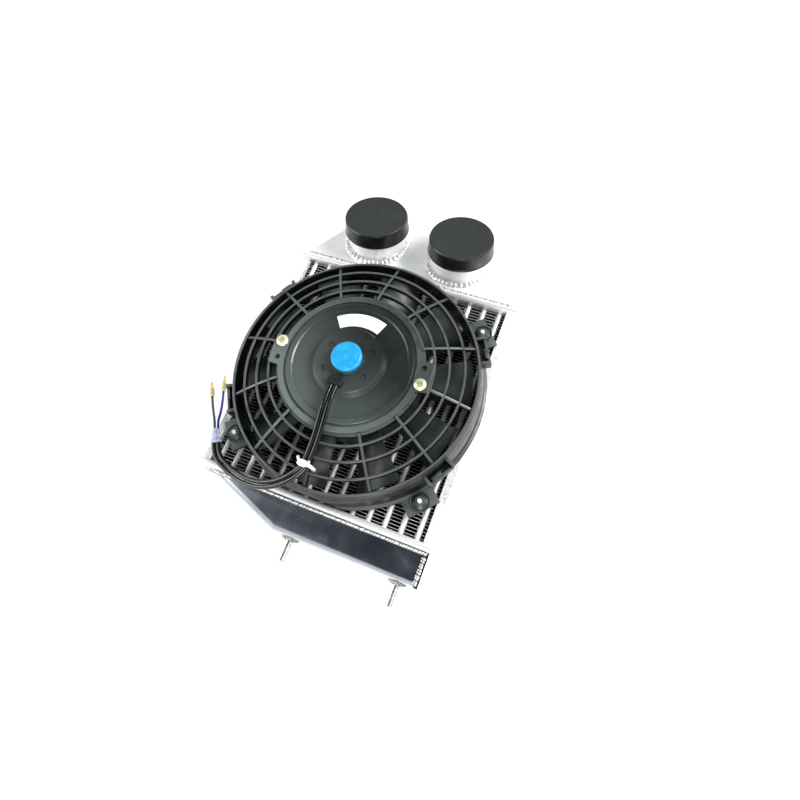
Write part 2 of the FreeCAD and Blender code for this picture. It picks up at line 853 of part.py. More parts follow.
def make_shroud():
    """The moulding, as two solids that meet at the throat: its wall, and the domed grille."""
    foot = "shroud_base_radius - shroud_step"
    wall = turned("shroud_wall", [
        ("shroud_base_radius", "0"), ("shroud_base_radius", "shroud_foot"),
        (foot, "shroud_foot + 0.8"), ("shroud_top_radius", "shroud_height"),
        ("shroud_top_radius - shroud_wall", "shroud_height"), (foot + " - shroud_wall", "shroud_foot"),
        ("shroud_base_radius - shroud_flange", "shroud_foot"),
        ("shroud_base_radius - shroud_flange", "0"),
    ])
    bars = [ring("hub_ring", "hub_ring_inner", "hub_ring_outer", "0", "flange_seat")]
    for radius in ("grille_ring_one", "grille_ring_two", "grille_ring_three"):
        bars.append(ring("bar_ring", radius + " - grille_bar / 2", radius + " + grille_bar / 2",
                         "0", "dome_top"))
    for angle in around(int(size("spoke_count"))):
        bars.append(box("shroud_top_radius - shroud_wall / 2 - hub_ring_inner - 1", "spoke_width",
                        "dome_top", ("hub_ring_inner + 1", "-spoke_width / 2", "0"), turn=angle))
    centre = ("0", "0", "dome_top - dome_radius")
    dome = cut(sphere("dome_radius", centre), sphere("dome_radius - grille_thickness", centre))
    hub_seat = box("4 * hub_ring_outer", "4 * hub_ring_outer", "dome_top",
                   ("-2 * hub_ring_outer", "-2 * hub_ring_outer", "flange_seat"))
    ear_pads = [box("ear_reach - hub_ring_inner - 2", "ear_pad_width", "ear_pad_depth",
                    ("hub_ring_inner + 2", "-ear_pad_width / 2", "flange_seat - ear_pad_depth"),
                    turn=angle)
                for angle in (size("ear_turn"), 180 + size("ear_turn"))]
    grille = cut(common(fused(bars), dome), hub_seat)
    lugs = [box("lug_reach - shroud_base_radius + 4", "lug_width", "shroud_foot",
                ("shroud_base_radius - 4", "-lug_width / 2", "0"), turn=angle)
            for angle in lug_angles()]
    moulding = fused([wall, grille] + ear_pads + lugs + shroud_hooks())
    holes = [cylinder("rod_radius + rod_gap", "4 * shroud_foot",
                      (str(place.x), str(place.y), "-shroud_foot")) for place in rod_places()]
    holes += [cylinder("screw_radius + braze_gap", "4 * ear_pad_depth",
                       (x, y, "flange_seat - 2 * ear_pad_depth")) for x, y in screw_places()]
    between_rails = box("4 * lug_reach", "2 * (core_half_length - shroud_gap)", "2 * dome_top",
                        ("-2 * lug_reach", "shroud_gap - core_half_length", "-dome_top"))
    trimmed = common(cut(moulding, fused(holes)), between_rails)
    throat = cylinder("shroud_top_radius - shroud_wall", "4 * dome_top", ("0", "0", "-2 * dome_top"))
    keep(cut(trimmed, throat), "fan_shroud")
    keep(common(trimmed, throat), "fan_grille")


def shroud_hooks():
    """Two small lead hooks at each of four places round the wall."""
    spread = size("hook_half_spread")
    hooks = []
    for middle in (size("hook_angle"), 180 - size("hook_angle")):
        for angle in (middle - spread, middle + spread, -middle - spread, -middle + spread):
            hooks.append(box("hook_reach - shroud_top_radius + 1", "hook_width", "hook_height",
                             ("shroud_top_radius - 1", "-hook_width / 2", "hook_base"), turn=angle))
    return hooks


def lug_angles():
    return [math.degrees(math.atan2(place.y, place.x)) for place in rod_places()]


def screw_places():
    return [("screw_circle", "0"), ("-screw_circle", "0")]


# ---------------------------------------------------------------- fixing rods

def make_fixings():
    rods, clips = [], []
    seat = "shroud_foot"
    for place in rod_places():
        frame = ROW * Placement(place, Rotation())
        rods.append(turned("rod", [
            ("0", CORE_LOW + " - rod_head"), ("rod_head_radius", CORE_LOW + " - rod_head"),
            ("rod_head_radius", CORE_LOW), ("rod_radius", CORE_LOW),
            ("rod_radius", seat + " + rod_end"), ("0", seat + " + rod_end"),
        ], frame=frame))
        clips.append(turned("clip", [
            ("rod_radius", seat), ("clip_radius", seat), ("clip_radius", seat + " + 1"),
            ("0.6 * clip_radius", seat + " + clip_height"), ("rod_radius", seat + " + clip_height"),
        ], frame=frame))
    group("fixing_rods", rods)
    group("fixing_clips", clips)


# ---------------------------------------------------------------- rotor

def blade_section(distance, chord, pitch):
    """A cambered strip on a plane at a distance from the axis, as a wire."""
    half = chord / 2
    camber = chord * 0.09
    half_thickness = size("blade_thickness") / 2
    turn = Rotation(Vector(1, 0, 0), pitch)
    middle = Vector(distance, 0, size("blade_middle"))

    def point(along, up):
        return middle + turn.multVec(Vector(0, along, up))

    upper = Part.Arc(point(-half, half_thickness), point(0, camber + half_thickness),
                     point(half, half_thickness)).toShape()
    lower = Part.Arc(point(half, -half_thickness), point(0, camber - half_thickness),
                     point(-half, -half_thickness)).toShape()
    first = Part.LineSegment(point(half, half_thickness), point(half, -half_thickness)).toShape()
    last = Part.LineSegment(point(-half, -half_thickness), point(-half, half_thickness)).toShape()
    return Part.Wire([upper, first, lower, last])


def make_rotor():
    root = blade_section(size("hub_outer - hub_wall - 3"), size("root_chord"), size("root_pitch"))
    tip = blade_section(size("blade_tip + 4"), size("tip_chord"), size("tip_pitch"))
    blade = Part.makeLoft([root, tip], True, True)
    low = Vector(0, 0, 0)
    high = size("dome_top")
    zone = Part.makeCylinder(size("blade_tip"), high, low)
    zone = zone.cut(Part.makeCylinder(size("hub_outer - hub_wall / 2"), high, low))
    blade = blade.common(zone)
    hub = turned("rotor_hub", [
        ("shaft_radius", "hub_boss_bottom"), ("hub_boss_radius", "hub_boss_bottom"),
        ("hub_boss_radius", "hub_bottom"), ("hub_outer", "hub_bottom"), ("hub_outer", "hub_top"),
        ("hub_outer - hub_wall", "hub_top"), ("hub_outer - hub_wall", "hub_bottom + hub_wall"),
        ("shaft_radius", "hub_bottom + hub_wall"),
    ], frame=Placement())
    doc.recompute()
    blades = [blade.rotated(Vector(), Vector(0, 0, 1), angle)
              for angle in around(int(size("blade_count")), first=-93)]
    keep(feature("fan_rotor", hub.Shape.multiFuse(blades)), "fan_rotor")


def make_rotor_nut():
    half = "nut_width / 2"
    flat = "nut_width / 2 * tan(30)"
    point = "nut_width / 2 / cos(30)"
    high = "hub_boss_bottom"
    nut = prism("nut_blank", "XY_Plane", [
        (half, flat), ("0", point), ("-" + half, flat), ("-" + half, "-" + flat),
        ("0", "-" + point), (half, "-" + flat),
    ], "nut_height", offset=high + " - nut_height")
    bore = cylinder("shaft_radius", "4 * nut_height", ("0", "0", high + " - 2 * nut_height"))
    keep(cut(nut, bore), "rotor_nut")


# ---------------------------------------------------------------- motor

BEARING_LOW = "can_bottom + can_wall"
BEARING_HIGH = "disc_top - cover_sheet - bearing_length"
FACE = "flange_seat + cover_sheet"


def make_motor_can():
    """A deep drawn can with a bearing seat raised inside its bottom."""
    bore = "bearing_radius"
    boss = "bearing_radius + can_wall"
    keep(turned("motor_can", [
        ("shaft_radius + 1", "can_bottom"), ("can_radius", "can_bottom"),
        ("can_radius", "flange_seat"), ("can_radius - can_wall", "flange_seat"),
        ("can_radius - can_wall", "can_bottom + can_wall"), (boss, "can_bottom + can_wall"),
        (boss, BEARING_LOW + " + bearing_length"), (bore, BEARING_LOW + " + bearing_length"),
        (bore, BEARING_LOW), ("shaft_radius + 1", BEARING_LOW),
    ]), "motor_can")


def make_motor_cover():
    """The pressed end cover: a flat rim, a raised disc and a boss round the rear bearing."""
    low = "flange_seat"
    rim = low + " + flange_lip + braze_gap"
    inner = "disc_foot_radius - 1.5 * cover_sheet"
    seat = "bearing_radius"
    cover = turned("cover_blank", [
        ("can_radius + braze_gap", low), ("can_radius + braze_gap", rim), ("ridge_outer", rim),
        ("ridge_outer", FACE + " + 0.5 * ridge_height"),
        ("ridge_outer - 0.5 * ridge_height", FACE + " + ridge_height"),
        ("can_radius - 2", FACE + " + ridge_height"), ("can_radius - 3", FACE),
        ("disc_foot_radius", FACE), ("disc_radius", "disc_top"), ("boss_radius", "disc_top"),
        ("boss_radius", "boss_top"), ("dust_cap_spigot", "boss_top"),
        ("dust_cap_spigot", "disc_top + 1"), (seat, "disc_top + 1"), (seat, BEARING_HIGH),
        (seat + " + cover_sheet", BEARING_HIGH), (seat + " + cover_sheet", "disc_top - cover_sheet"),
        ("disc_radius - 1.5 * cover_sheet", "disc_top - cover_sheet"), (inner, low),
    ])
    dimples = [cylinder("dimple_radius", "2", (
        "dimple_circle * cos(%g)" % angle, "dimple_circle * sin(%g)" % angle,
        "disc_top - 0.8")) for angle in (35, 155, 218, 330)]
    keep(cut(cover, fused(dimples)), "motor_cover")


def make_motor_flange():
    """The mounting ring: a thin lip under the cover's rim, a groove, and two eared sides."""
    bore = "can_radius + 2 * braze_gap"
    top = "flange_seat + flange_thickness"
    lip = "flange_seat + flange_lip"
    plate = turned("flange_plate", [
        (bore, "flange_seat"), ("flange_radius", "flange_seat"), ("flange_radius", top),
        ("groove_outer", top), ("groove_outer", lip), (bore, lip),
    ])
    reach = "ear_reach"
    ears = []
    for turn in (0, 180):
        spread = size("ear_half_angle")
        corners = []
        for angle, radius in ((-spread, "flange_radius - 3"), (-spread * 0.75, reach),
                              (spread * 0.75, reach), (spread, "flange_radius - 3")):
            heading = angle + size("ear_turn") + turn
            corners.append(("(%s) * cos(%g)" % (radius, heading),
                            "(%s) * sin(%g)" % (radius, heading)))
        ears.append(prism("ear", "XY_Plane", corners, "flange_thickness", offset="flange_seat"))
    holes = []
    for turn in (0, 180):
        for angle in (turn, turn + 2 * size("ear_turn")):
            holes.append(cylinder("screw_radius + braze_gap", "20", (
                "screw_circle * cos(%g)" % angle, "screw_circle * sin(%g)" % angle,
                "flange_seat - 10")))
    keep(cut(fused([plate] + ears), fused(holes)), "motor_flange")


def make_motor_screws():
    """Cross-head screws through the flange's ears into the grille's pads."""
    seat = "flange_seat + flange_thickness"
    screws = []
    for x, y in screw_places():
        frame = ROW * Placement(Vector(size(x), size(y), 0), Rotation())
        screw = turned("screw", [
            ("0", seat + " - screw_length"), ("screw_radius", seat + " - screw_length"),
            ("screw_radius", seat), ("screw_head_radius", seat),
            ("screw_head_radius", seat + " + 0.4 * screw_head_height"),
            ("0.6 * screw_head_radius", seat + " + screw_head_height"),
            ("0", seat + " + screw_head_height"),
        ], frame=frame)
        cross = [box("cross_length", "cross_width", "screw_head_height",
                     ("-cross_length / 2", "-cross_width / 2", seat + " + 0.4 * screw_head_height"),
                     frame=frame, turn=angle) for angle in (25, 115)]
        screws.append(cut(screw, fused(cross)))
    group("motor_screws", screws)


def make_shaft():
    keep(turned("motor_shaft", [
        ("0", "shaft_bottom"), ("shaft_radius - 0.5", "shaft_bottom"),
        ("shaft_radius", "shaft_bottom + 0.5"), ("shaft_radius", "shaft_top"), ("0", "shaft_top"),
    ]), "motor_shaft")


def make_bearing(label, low):
    keep(ring(label, "shaft_radius + running_gap", "bearing_radius", low,
              low + " + bearing_length"), label)


MAGNET_INNER = "can_radius - can_wall - magnet_thickness"


def make_magnets():
    blank = ring("magnet_ring", MAGNET_INNER, "can_radius - can_wall", "magnet_bottom", "magnet_top")
    gaps = [box("2 * can_radius", "magnet_spacing", "frame_depth",
                ("-can_radius", "-magnet_spacing / 2", "0"), turn=angle)
            for angle in (0, 90)]
    keep(cut(blank, fused(gaps)), "magnets")


def slot_boxes(width, low, high, outer):
    inner = "winding_inner + 4"
    return [box("%s - (%s)" % (outer, inner), width, high + " - " + low,
                (inner, "-(%s) / 2" % width, low), turn=angle)
            for angle in around(int(size("armature_slots")))]


def make_armature():
    outer = MAGNET_INNER + " - air_gap"
    stack = ring("armature_stack", "shaft_radius", outer, "armature_bottom", "armature_top")
    slots = slot_boxes("slot_width", "(armature_bottom - 1)", "(armature_top + 1)", MAGNET_INNER)
    keep(cut(stack, fused(slots)), "armature_core")
    wire_reach = outer + " - 1"
    bars = slot_boxes("(slot_width - 2 * winding_gap)", "(armature_bottom - 1)",
                      "(armature_top + 1)", wire_reach)
    ends = [
        ring("winding_low", "winding_inner", wire_reach, "armature_bottom - winding_overhang",
             "armature_bottom - winding_gap"),
        ring("winding_high", "winding_inner", wire_reach, "armature_top + winding_gap",
             "armature_top + winding_overhang"),
    ]
    keep(fused(ends + bars), "armature_windings")


def make_commutator():
    blank = ring("commutator_blank", "shaft_radius", "commutator_radius", "commutator_bottom",
                 "commutator_top")
    grooves = [box("2", "0.4", "20", ("commutator_radius - 1", "-0.2", "commutator_bottom - 5"),
                   turn=angle) for angle in around(12, first=15)]
    keep(cut(blank, fused(grooves)), "commutator")


def make_brush_gear():
    card_top = "card_bottom + card_thickness"
    card = ring("brush_card", "commutator_radius + 2", "can_radius - can_wall", "card_bottom",
                card_top)
    keep(card, "brush_card")
    inner = "commutator_radius + running_gap"
    brushes = [box("brush_length", "brush_width", "brush_height",
                   (inner, "-brush_width / 2", card_top), turn=angle) for angle in (45, 225)]
    group("brushes", brushes)
    start = inner + " + brush_length"
    springs = []
    for angle in (45, 225):
        outer = box("spring_length", "brush_width", "brush_height",
                    (start, "-brush_width / 2", card_top), turn=angle)
        inside = box("spring_length - 2 * spring_sheet", "brush_width", "brush_height",
                     (start + " + spring_sheet", "-brush_width / 2 + spring_sheet", card_top),
                     turn=angle)
        springs.append(cut(outer, inside))
    group("brush_springs", springs)


def make_dust_cap():
    keep(turned("dust_cap", [
        ("0", "shaft_top + 0.6"), ("dust_cap_spigot", "shaft_top + 0.6"),
        ("dust_cap_spigot", "boss_top"), ("dust_cap_radius", "boss_top"),
        ("dust_cap_radius", "boss_top + dust_cap_height - 1"),
        ("dust_cap_radius - 1", "boss_top + dust_cap_height"), ("0", "boss_top + dust_cap_height"),
    ]), "dust_cap")


def make_label():
    """A plain curved label on the motor's cover."""
    blank = ring("label_blank", "label_inner", "label_outer", FACE, FACE + " + label_sheet")
    corners = [("2 * label_outer * cos(%s)" % angle, "2 * label_outer * sin(%s)" % angle)
               for angle in ("label_start", "label_end")]
    wedge = prism("label_wedge", "XY_Plane", [("0", "0")] + corners, "boss_top - flange_seat",
                  offset="flange_seat")
    keep(common(blank, wedge), "blank_label")


def make_grommet():
    half = "grommet_width / 2"
    start = LEAD_ROUTE[0]
    front_y = "%g" % start[1]
    keep(prism("lead_grommet", "XY_Plane", [
        ("%g - %s" % (start[0], half), front_y), ("%g + %s" % (start[0], half), front_y),
        ("%g + %s" % (start[0], half), front_y + " + 0.6 * grommet_length"),
        ("%g + 0.3 * grommet_width" % start[0], front_y + " + grommet_length"),
        ("%g - 0.3 * grommet_width" % start[0], front_y + " + grommet_length"),
        ("%g - %s" % (start[0], half), front_y + " + 0.6 * grommet_length"),
    ], "grommet_height", offset="disc_top"), "lead_grommet")


# ---------------------------------------------------------------- lead

def beside(route, reach):
    """A route that runs level beside another one, at a distance to its left."""
    points = [Vector(*point) for point in route]
    moved = []
    for index, point in enumerate(points):
        before = points[max(index - 1, 0)]
        after = points[min(index + 1, len(points) - 1)]
        heading = after - before
        across = Vector(-heading.y, heading.x, 0).normalize()
        moved.append(point + across * reach)
    return moved


def bend_radii(points):
    radii = []
    for before, point, after in zip(points, points[1:], points[2:]):
        turn = (point - before).getAngle(after - point)
        shorter = min((point - before).Length, (after - point).Length)
        radii.append(0.45 * shorter / math.tan(turn / 2))
    return radii


def cord(label, points, radius):
    """A tube along straight runs joined by arcs that touch both runs."""
    edges = []
    last = points[0]
    for index, bend in enumerate(bend_radii(points), start=1):
        corner = points[index]
        back_run = (points[index - 1] - corner).normalize()
        next_run = (points[index + 1] - corner).normalize()
        cut_back = 0.45 * min((points[index - 1] - corner).Length,
                              (points[index + 1] - corner).Length)
        start = corner + back_run * cut_back
        end = corner + next_run * cut_back
        inward = (back_run + next_run).normalize()
        centre_distance = math.hypot(cut_back, bend)
        middle = corner + inward * (centre_distance - bend)
        edges.append(Part.LineSegment(last, start).toShape())
        edges.append(Part.Arc(start, middle, end).toShape())
        last = end
    edges.append(Part.LineSegment(last, points[-1]).toShape())
    path = Part.Wire(edges)
    section = Part.Wire(Part.Circle(points[0], points[1] - points[0], radius).toShape())
    tube = path.makePipeShell([section], True, False)
    share = tube.Volume / (math.pi * radius ** 2 * path.Length)
    bends = ", ".join("%.0f" % bend for bend in bend_radii(points))
    print("%s: %.1f mm long, volume share %.4f, bend radii %s" % (label, path.Length, share, bends))
    keep(feature(label, tube), label)


def rod_between(start, end, radius):
    return Part.makeCylinder(radius, (end - start).Length, start, end - start)


def make_lead():
    reach = size("sleeve_half_spacing")
    for label, side in (("sleeve_left", 1), ("sleeve_right", -1)):
        cord(label, beside(LEAD_ROUTE, side * reach), size("sleeve_radius"))
    start = Vector(*LEAD_ROUTE[-1])
    heading = (start - Vector(*LEAD_ROUTE[-2])).normalize()
    end = start + heading * size("collar_length")
    keep(feature("lead_collar", rod_between(start, end, size("collar_radius"))), "lead_collar")
    across = Vector(-heading.y, heading.x, 0).normalize() * size("wire_half_spacing")
    for colour, side, route in (("black", 1, BLACK_ROUTE), ("blue", -1, BLUE_ROUTE)):
        exit_point = end + across * side
        points = [exit_point, exit_point + heading * size("wire_lead_out")]
        points += [Vector(*point) for point in route]
        cord("wire_" + colour, points, size("wire_radius"))
        make_terminal("terminal_" + colour, points[-1], (points[-1] - points[-2]).normalize())


def make_terminal(label, foot, heading):
    """A crimp sleeve on the wire's end with a pin in front of it."""
    shoulder = foot + heading * size("terminal_sleeve")
    tip = foot + heading * size("terminal_length")
    crimp = rod_between(foot, shoulder, size("terminal_radius"))
    pin = rod_between(shoulder, tip, size("pin_radius"))
    keep(feature(label, crimp.fuse(pin)), label)


def make_cable_tie():
    """A strap round the lead and the grille's spoke, with its ratchet head on top."""
    x, y, z = LEAD_ROUTE[TIE_POINT]
    y = y + size("tie_offset")
    half = size("sleeve_half_spacing + sleeve_radius + tie_gap")
    top = z + size("sleeve_radius + tie_gap")
    low = z - size("tie_depth")
    sheet_size = size("tie_sheet")
    width = size("tie_width")
    outer = Part.makeBox(2 * (half + sheet_size), width, top - low + 2 * sheet_size,
                         Vector(x - half - sheet_size, y - width / 2, low - sheet_size))
    inner = Part.makeBox(2 * half, width, top - low, Vector(x - half, y - width / 2, low))
    head_width = size("tie_head_width")
    tail_width = size("tie_tail_width")
    head = Part.makeBox(head_width, head_width, size("tie_head_height"),
                        Vector(x - head_width / 2, y - head_width / 2, top + sheet_size))
    tail = Part.makeBox(size("tie_tail_length"), tail_width, sheet_size,
                        Vector(x + head_width / 2, y - tail_width / 2, top + 2.5 * sheet_size))
    keep(feature("cable_tie", outer.cut(inner).fuse([head, tail])), "cable_tie")


# ---------------------------------------------------------------- assembly

def build():
    make_tubes()
    make_turbulators()
    make_air_fins()
    make_side_plate("side_plate_left", -1)
    make_side_plate("side_plate_right", 1)
    header_near = make_header("header_near", -1)
    header_far = make_header("header_far", 1)
    near_tank = make_near_tank(header_near)
    near_end = make_near_end_plate(header_near)
    far_tank = make_far_tank(header_far)
    make_far_baffle(far_tank, header_far)
    for label, side in (("left", -1), ("right", 1)):
        make_neck("neck_" + label, side)
        make_neck_weld("neck_weld_" + label, side)
        make_cap("cap_" + label, side)
        make_stud("stud_" + label, "-stud_left" if side < 0 else "stud_right")
        make_stud_weld("stud_weld_" + label, "-stud_left" if side < 0 else "stud_right")
    make_seams(header_near, near_tank, near_end, header_far, far_tank)
    make_shroud()
    make_fixings()
    make_rotor()
    make_rotor_nut()
    make_motor_can()
    make_motor_cover()
    make_motor_flange()
    make_motor_screws()
    make_shaft()
    make_bearing("front_bearing", BEARING_LOW)
    make_bearing("rear_bearing", BEARING_HIGH)
    make_magnets()
    make_armature()
    make_commutator()
    make_brush_gear()
    make_dust_cap()
    make_label()
    make_grommet()
    make_lead()
    make_cable_tie()


def export():
    doc.recompute()
    failed = [item.Name for item in doc.Objects if {"Invalid", "Error"} & set(item.State)]
    if failed:
        raise RuntimeError("objects that failed: " + ", ".join(failed))
    for node in nodes:
        if node.Shape.isNull() or not node.Shape.isValid() or not node.Shape.Solids:
            raise RuntimeError(node.Label + " has no valid solid")
    os.makedirs("parts", exist_ok=True)
    for node in nodes:
        node.Shape.exportStep("parts/%s.step" % node.Label)
    box = FreeCAD.BoundBox()
    for node in nodes:
        box.add(node.Shape.BoundBox)
    print("%d nodes, %d solids" % (len(nodes), sum(len(node.Shape.Solids) for node in nodes)))
    print("overall box", box)


build()
export()
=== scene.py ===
import json
import math
import random

import bmesh
import bpy
from mathutils import Matrix, Quaternion, Vector, noise


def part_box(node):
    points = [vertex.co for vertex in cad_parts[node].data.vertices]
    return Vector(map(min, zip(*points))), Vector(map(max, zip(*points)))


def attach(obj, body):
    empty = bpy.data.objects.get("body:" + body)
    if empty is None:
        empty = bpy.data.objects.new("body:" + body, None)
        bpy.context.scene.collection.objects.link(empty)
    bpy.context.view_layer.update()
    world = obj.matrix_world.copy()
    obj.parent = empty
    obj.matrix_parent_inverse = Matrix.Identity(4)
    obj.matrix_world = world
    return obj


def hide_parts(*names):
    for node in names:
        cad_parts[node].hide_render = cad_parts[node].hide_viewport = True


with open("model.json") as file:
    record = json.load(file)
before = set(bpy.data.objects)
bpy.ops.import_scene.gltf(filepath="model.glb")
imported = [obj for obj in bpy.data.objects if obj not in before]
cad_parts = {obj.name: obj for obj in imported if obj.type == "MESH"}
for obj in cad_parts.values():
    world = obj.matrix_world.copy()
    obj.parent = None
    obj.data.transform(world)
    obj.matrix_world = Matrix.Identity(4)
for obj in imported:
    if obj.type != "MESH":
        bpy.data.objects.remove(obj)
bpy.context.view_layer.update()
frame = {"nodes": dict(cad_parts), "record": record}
random.seed(7)

# Everything below is written in millimetres in the core's frame: X along the headers, Y from the
# return tank (near) to the port tank (far), Z up, with the origin at the middle of the core's top.
# The shroud stands on the core's top and is symmetric about the fan's axis, so it gives the
# origin.

shroud_low, shroud_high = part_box("fan_shroud")
ORIGIN = Vector(((shroud_low.x + shroud_high.x) / 2, (shroud_low.y + shroud_high.y) / 2,
                 shroud_low.z))


def place(x, y, z):
    """A point of the core's frame in the row frame, in metres."""
    return ORIGIN + Vector((x, y, z)) / 1000


def span(node):
    """A CAD node's lowest and highest corners in the core's frame, in millimetres."""
    low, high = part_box(node)
    return (low - ORIGIN) * 1000, (high - ORIGIN) * 1000


# ---------------------------------------------------------------- finishes

class Finish:
    """A Principled surface whose colour, roughness and relief come from procedural textures."""

    def __init__(self, name, color, roughness, metallic=0.0):
        self.material = bpy.data.materials.new(name)
        self.material.use_nodes = True
        self.tree = self.material.node_tree
        self.shader = self.tree.nodes["Principled BSDF"]
        self.set("Base Color", (*color, 1))
        self.set("Roughness", roughness)
        self.set("Metallic", metallic)
        self.coordinates = self.tree.nodes.new("ShaderNodeTexCoord")
        self.color = None
        self.normal = None

    def set(self, name, value):
        self.shader.inputs[name].default_value = value
        return self

    def link(self, output, target):
        self.tree.links.new(output, target)

    def mapped(self, stretch=(1, 1, 1), turn=0.0):
        """Object coordinates in millimetres, stretched and turned about Z."""
        node = self.tree.nodes.new("ShaderNodeMapping")
        node.inputs["Scale"].default_value = [1000 * value for value in stretch]
        node.inputs["Rotation"].default_value = (0, 0, turn)
        self.link(self.coordinates.outputs["Object"], node.inputs["Vector"])
        return node.outputs["Vector"]

    def noise(self, size, detail=4.0, stretch=(1, 1, 1), turn=0.0):
        """Noise with features of about that size in millimetres."""
        node = self.tree.nodes.new("ShaderNodeTexNoise")
        node.inputs["Scale"].default_value = 1 / size
        node.inputs["Detail"].default_value = detail
        self.link(self.mapped(stretch, turn), node.inputs["Vector"])
        return node.outputs[0]

    def cells(self, size, stretch=(1, 1, 1)):
        """Distance from scattered points that lie about that many millimetres apart."""
        node = self.tree.nodes.new("ShaderNodeTexVoronoi")
        node.inputs["Scale"].default_value = 1 / size
        self.link(self.mapped(stretch), node.inputs["Vector"])
        return node.outputs["Distance"]

    def remap(self, value, low, high, first=0.0, last=1.0):
        """The value between low and high, moved to between first and last."""
        node = self.tree.nodes.new("ShaderNodeMapRange")
        limits = {"From Min": low, "From Max": high, "To Min": first, "To Max": last}
        for name, number in limits.items():
            node.inputs[name].default_value = number
        self.link(value, node.inputs["Value"])
        return node.outputs["Result"]

    def facing(self, axis, low, high):
        """From 0 to 1 as the surface turns towards one of the row frame's axes."""
        node = self.tree.nodes.new("ShaderNodeSeparateXYZ")
        self.link(self.coordinates.outputs["Normal"], node.inputs["Vector"])
        return self.remap(node.outputs[axis], low, high)

    def across(self, heading, low, high):
        """From 0 to 1 between two distances in metres along a heading of the row frame."""
        node = self.tree.nodes.new("ShaderNodeVectorMath")
        node.operation = "DOT_PRODUCT"
        node.inputs[1].default_value = heading
        self.link(self.coordinates.outputs["Object"], node.inputs[0])
        return self.remap(node.outputs["Value"], low, high)

    def tint(self, factor, color):
        """Mixes a colour in where the factor is high."""
        node = self.tree.nodes.new("ShaderNodeMix")
        node.data_type = "RGBA"
        first, second = node.inputs[6], node.inputs[7]
        if self.color:
            self.link(self.color, first)
        else:
            first.default_value = self.shader.inputs["Base Color"].default_value
        second.default_value = (*color, 1)
        self.link(factor, node.inputs[0])
        self.color = node.outputs[2]
        self.link(self.color, self.shader.inputs["Base Color"])
        return self

    def mottle(self, color, low, high, size, **texture):
        """Mixes a colour in where noise of that size passes from low to high."""
        return self.tint(self.remap(self.noise(size, **texture), low, high), color)

    def rough(self, value, smoothest, roughest, low=0.3, high=0.7):
        """Roughness between two values as a texture passes from low to high."""
        spread = self.remap(value, low, high, smoothest, roughest)
        self.link(spread, self.shader.inputs["Roughness"])
        return self

    def bump(self, value, strength, depth=0.05):
        """Relief whose depth is in millimetres."""
        node = self.tree.nodes.new("ShaderNodeBump")
        node.inputs["Strength"].default_value = strength
        node.inputs["Distance"].default_value = depth / 1000
        self.link(value, node.inputs["Height"])
        if self.normal:
            self.link(self.normal, node.inputs["Normal"])
        self.normal = node.outputs["Normal"]
        self.link(self.normal, self.shader.inputs["Normal"])
        return self


def polished_aluminium():
    """The rails: bright, drawn along X, with small pits."""
    made = Finish("polished_aluminium", (0.95, 0.95, 0.95), 0.3, metallic=0.45)
    made.rough(made.noise(9, stretch=(0.1, 1, 1)), 0.24, 0.42)
    made.mottle((0.5, 0.5, 0.5), 0.64, 0.78, 2.5)
    return made.bump(made.noise(1.2, stretch=(0.08, 1, 1)), 0.25).material


def tank_aluminium():
    """Rolled sheet with fine scratches both ways, a few long ones and small dents."""
    made = Finish("tank_aluminium", (0.62, 0.65, 0.69), 0.2, metallic=1.0)
    made.rough(made.noise(22, detail=6), 0.12, 0.3)
    made.tint(made.remap(made.cells(13), 0.045, 0.02), (1.0, 1.0, 1.0))
    scratches = made.noise(1.6, detail=8, stretch=(0.03, 1, 1), turn=0.35)
    made.tint(made.remap(scratches, 0.62, 0.75), (0.82, 0.84, 0.86))
    made.mottle((0.48, 0.51, 0.56), 0.55, 0.8, 34, detail=2)
    made.bump(made.noise(60, detail=1), 0.3, 0.8)
    made.bump(scratches, 0.12)
    return made.bump(made.noise(0.8, stretch=(1, 0.05, 1), turn=-0.2), 0.08).material


def far_aluminium():
    """The port tank and its necks: brighter and a little duller than the return tank."""
    made = Finish("far_aluminium", (0.95, 0.96, 0.95), 0.4, metallic=0.35)
    made.rough(made.noise(14, detail=6), 0.3, 0.5)
    made.mottle((0.8, 0.83, 0.82), 0.55, 0.78, 26, detail=3)
    made.bump(made.noise(45, detail=1), 0.25, 0.6)
    return made.bump(made.noise(0.9, stretch=(0.06, 1, 1), turn=0.6), 0.12).material


def weld_aluminium():
    """Bead metal: bright, with random darker grey patches."""
    made = Finish("weld_aluminium", (0.84, 0.84, 0.82), 0.32, metallic=0.7)
    made.rough(made.noise(2.0), 0.22, 0.5)
    made.mottle((0.42, 0.42, 0.4), 0.54, 0.7, 2.2, detail=6)
    return made.bump(made.noise(0.6, detail=6), 0.5, 0.12).material


def bead_gap_painted_shade_metal():
    """Metal darkened as painted shade for the gaps between weld strokes, with random darker
    patches.
    """
    # Painted shade: a dark grey base, so that the gaps between weld strokes look shaded.
    made = Finish("bead_gap_painted_shade_metal", (0.3, 0.3, 0.29), 0.45, metallic=0.6)
    made.mottle((0.12, 0.12, 0.11), 0.45, 0.65, 3, detail=5)
    made.rough(made.noise(2), 0.35, 0.6)
    return made.bump(made.noise(0.8, detail=5), 0.4, 0.1).material


def stud_bead_metal():
    """The studs' weld pads: smoky grey-brown with bright spatter."""
    made = Finish("stud_bead_metal", (0.36, 0.35, 0.32), 0.4, metallic=0.5)
    made.mottle((0.07, 0.066, 0.055), 0.5, 0.64, 2.4, detail=5)
    made.tint(made.remap(made.cells(3), 0.1, 0.0), (0.95, 0.95, 0.93))
    made.rough(made.noise(1.5), 0.3, 0.55)
    return made.bump(made.noise(0.8, detail=6), 0.5, 0.15).material


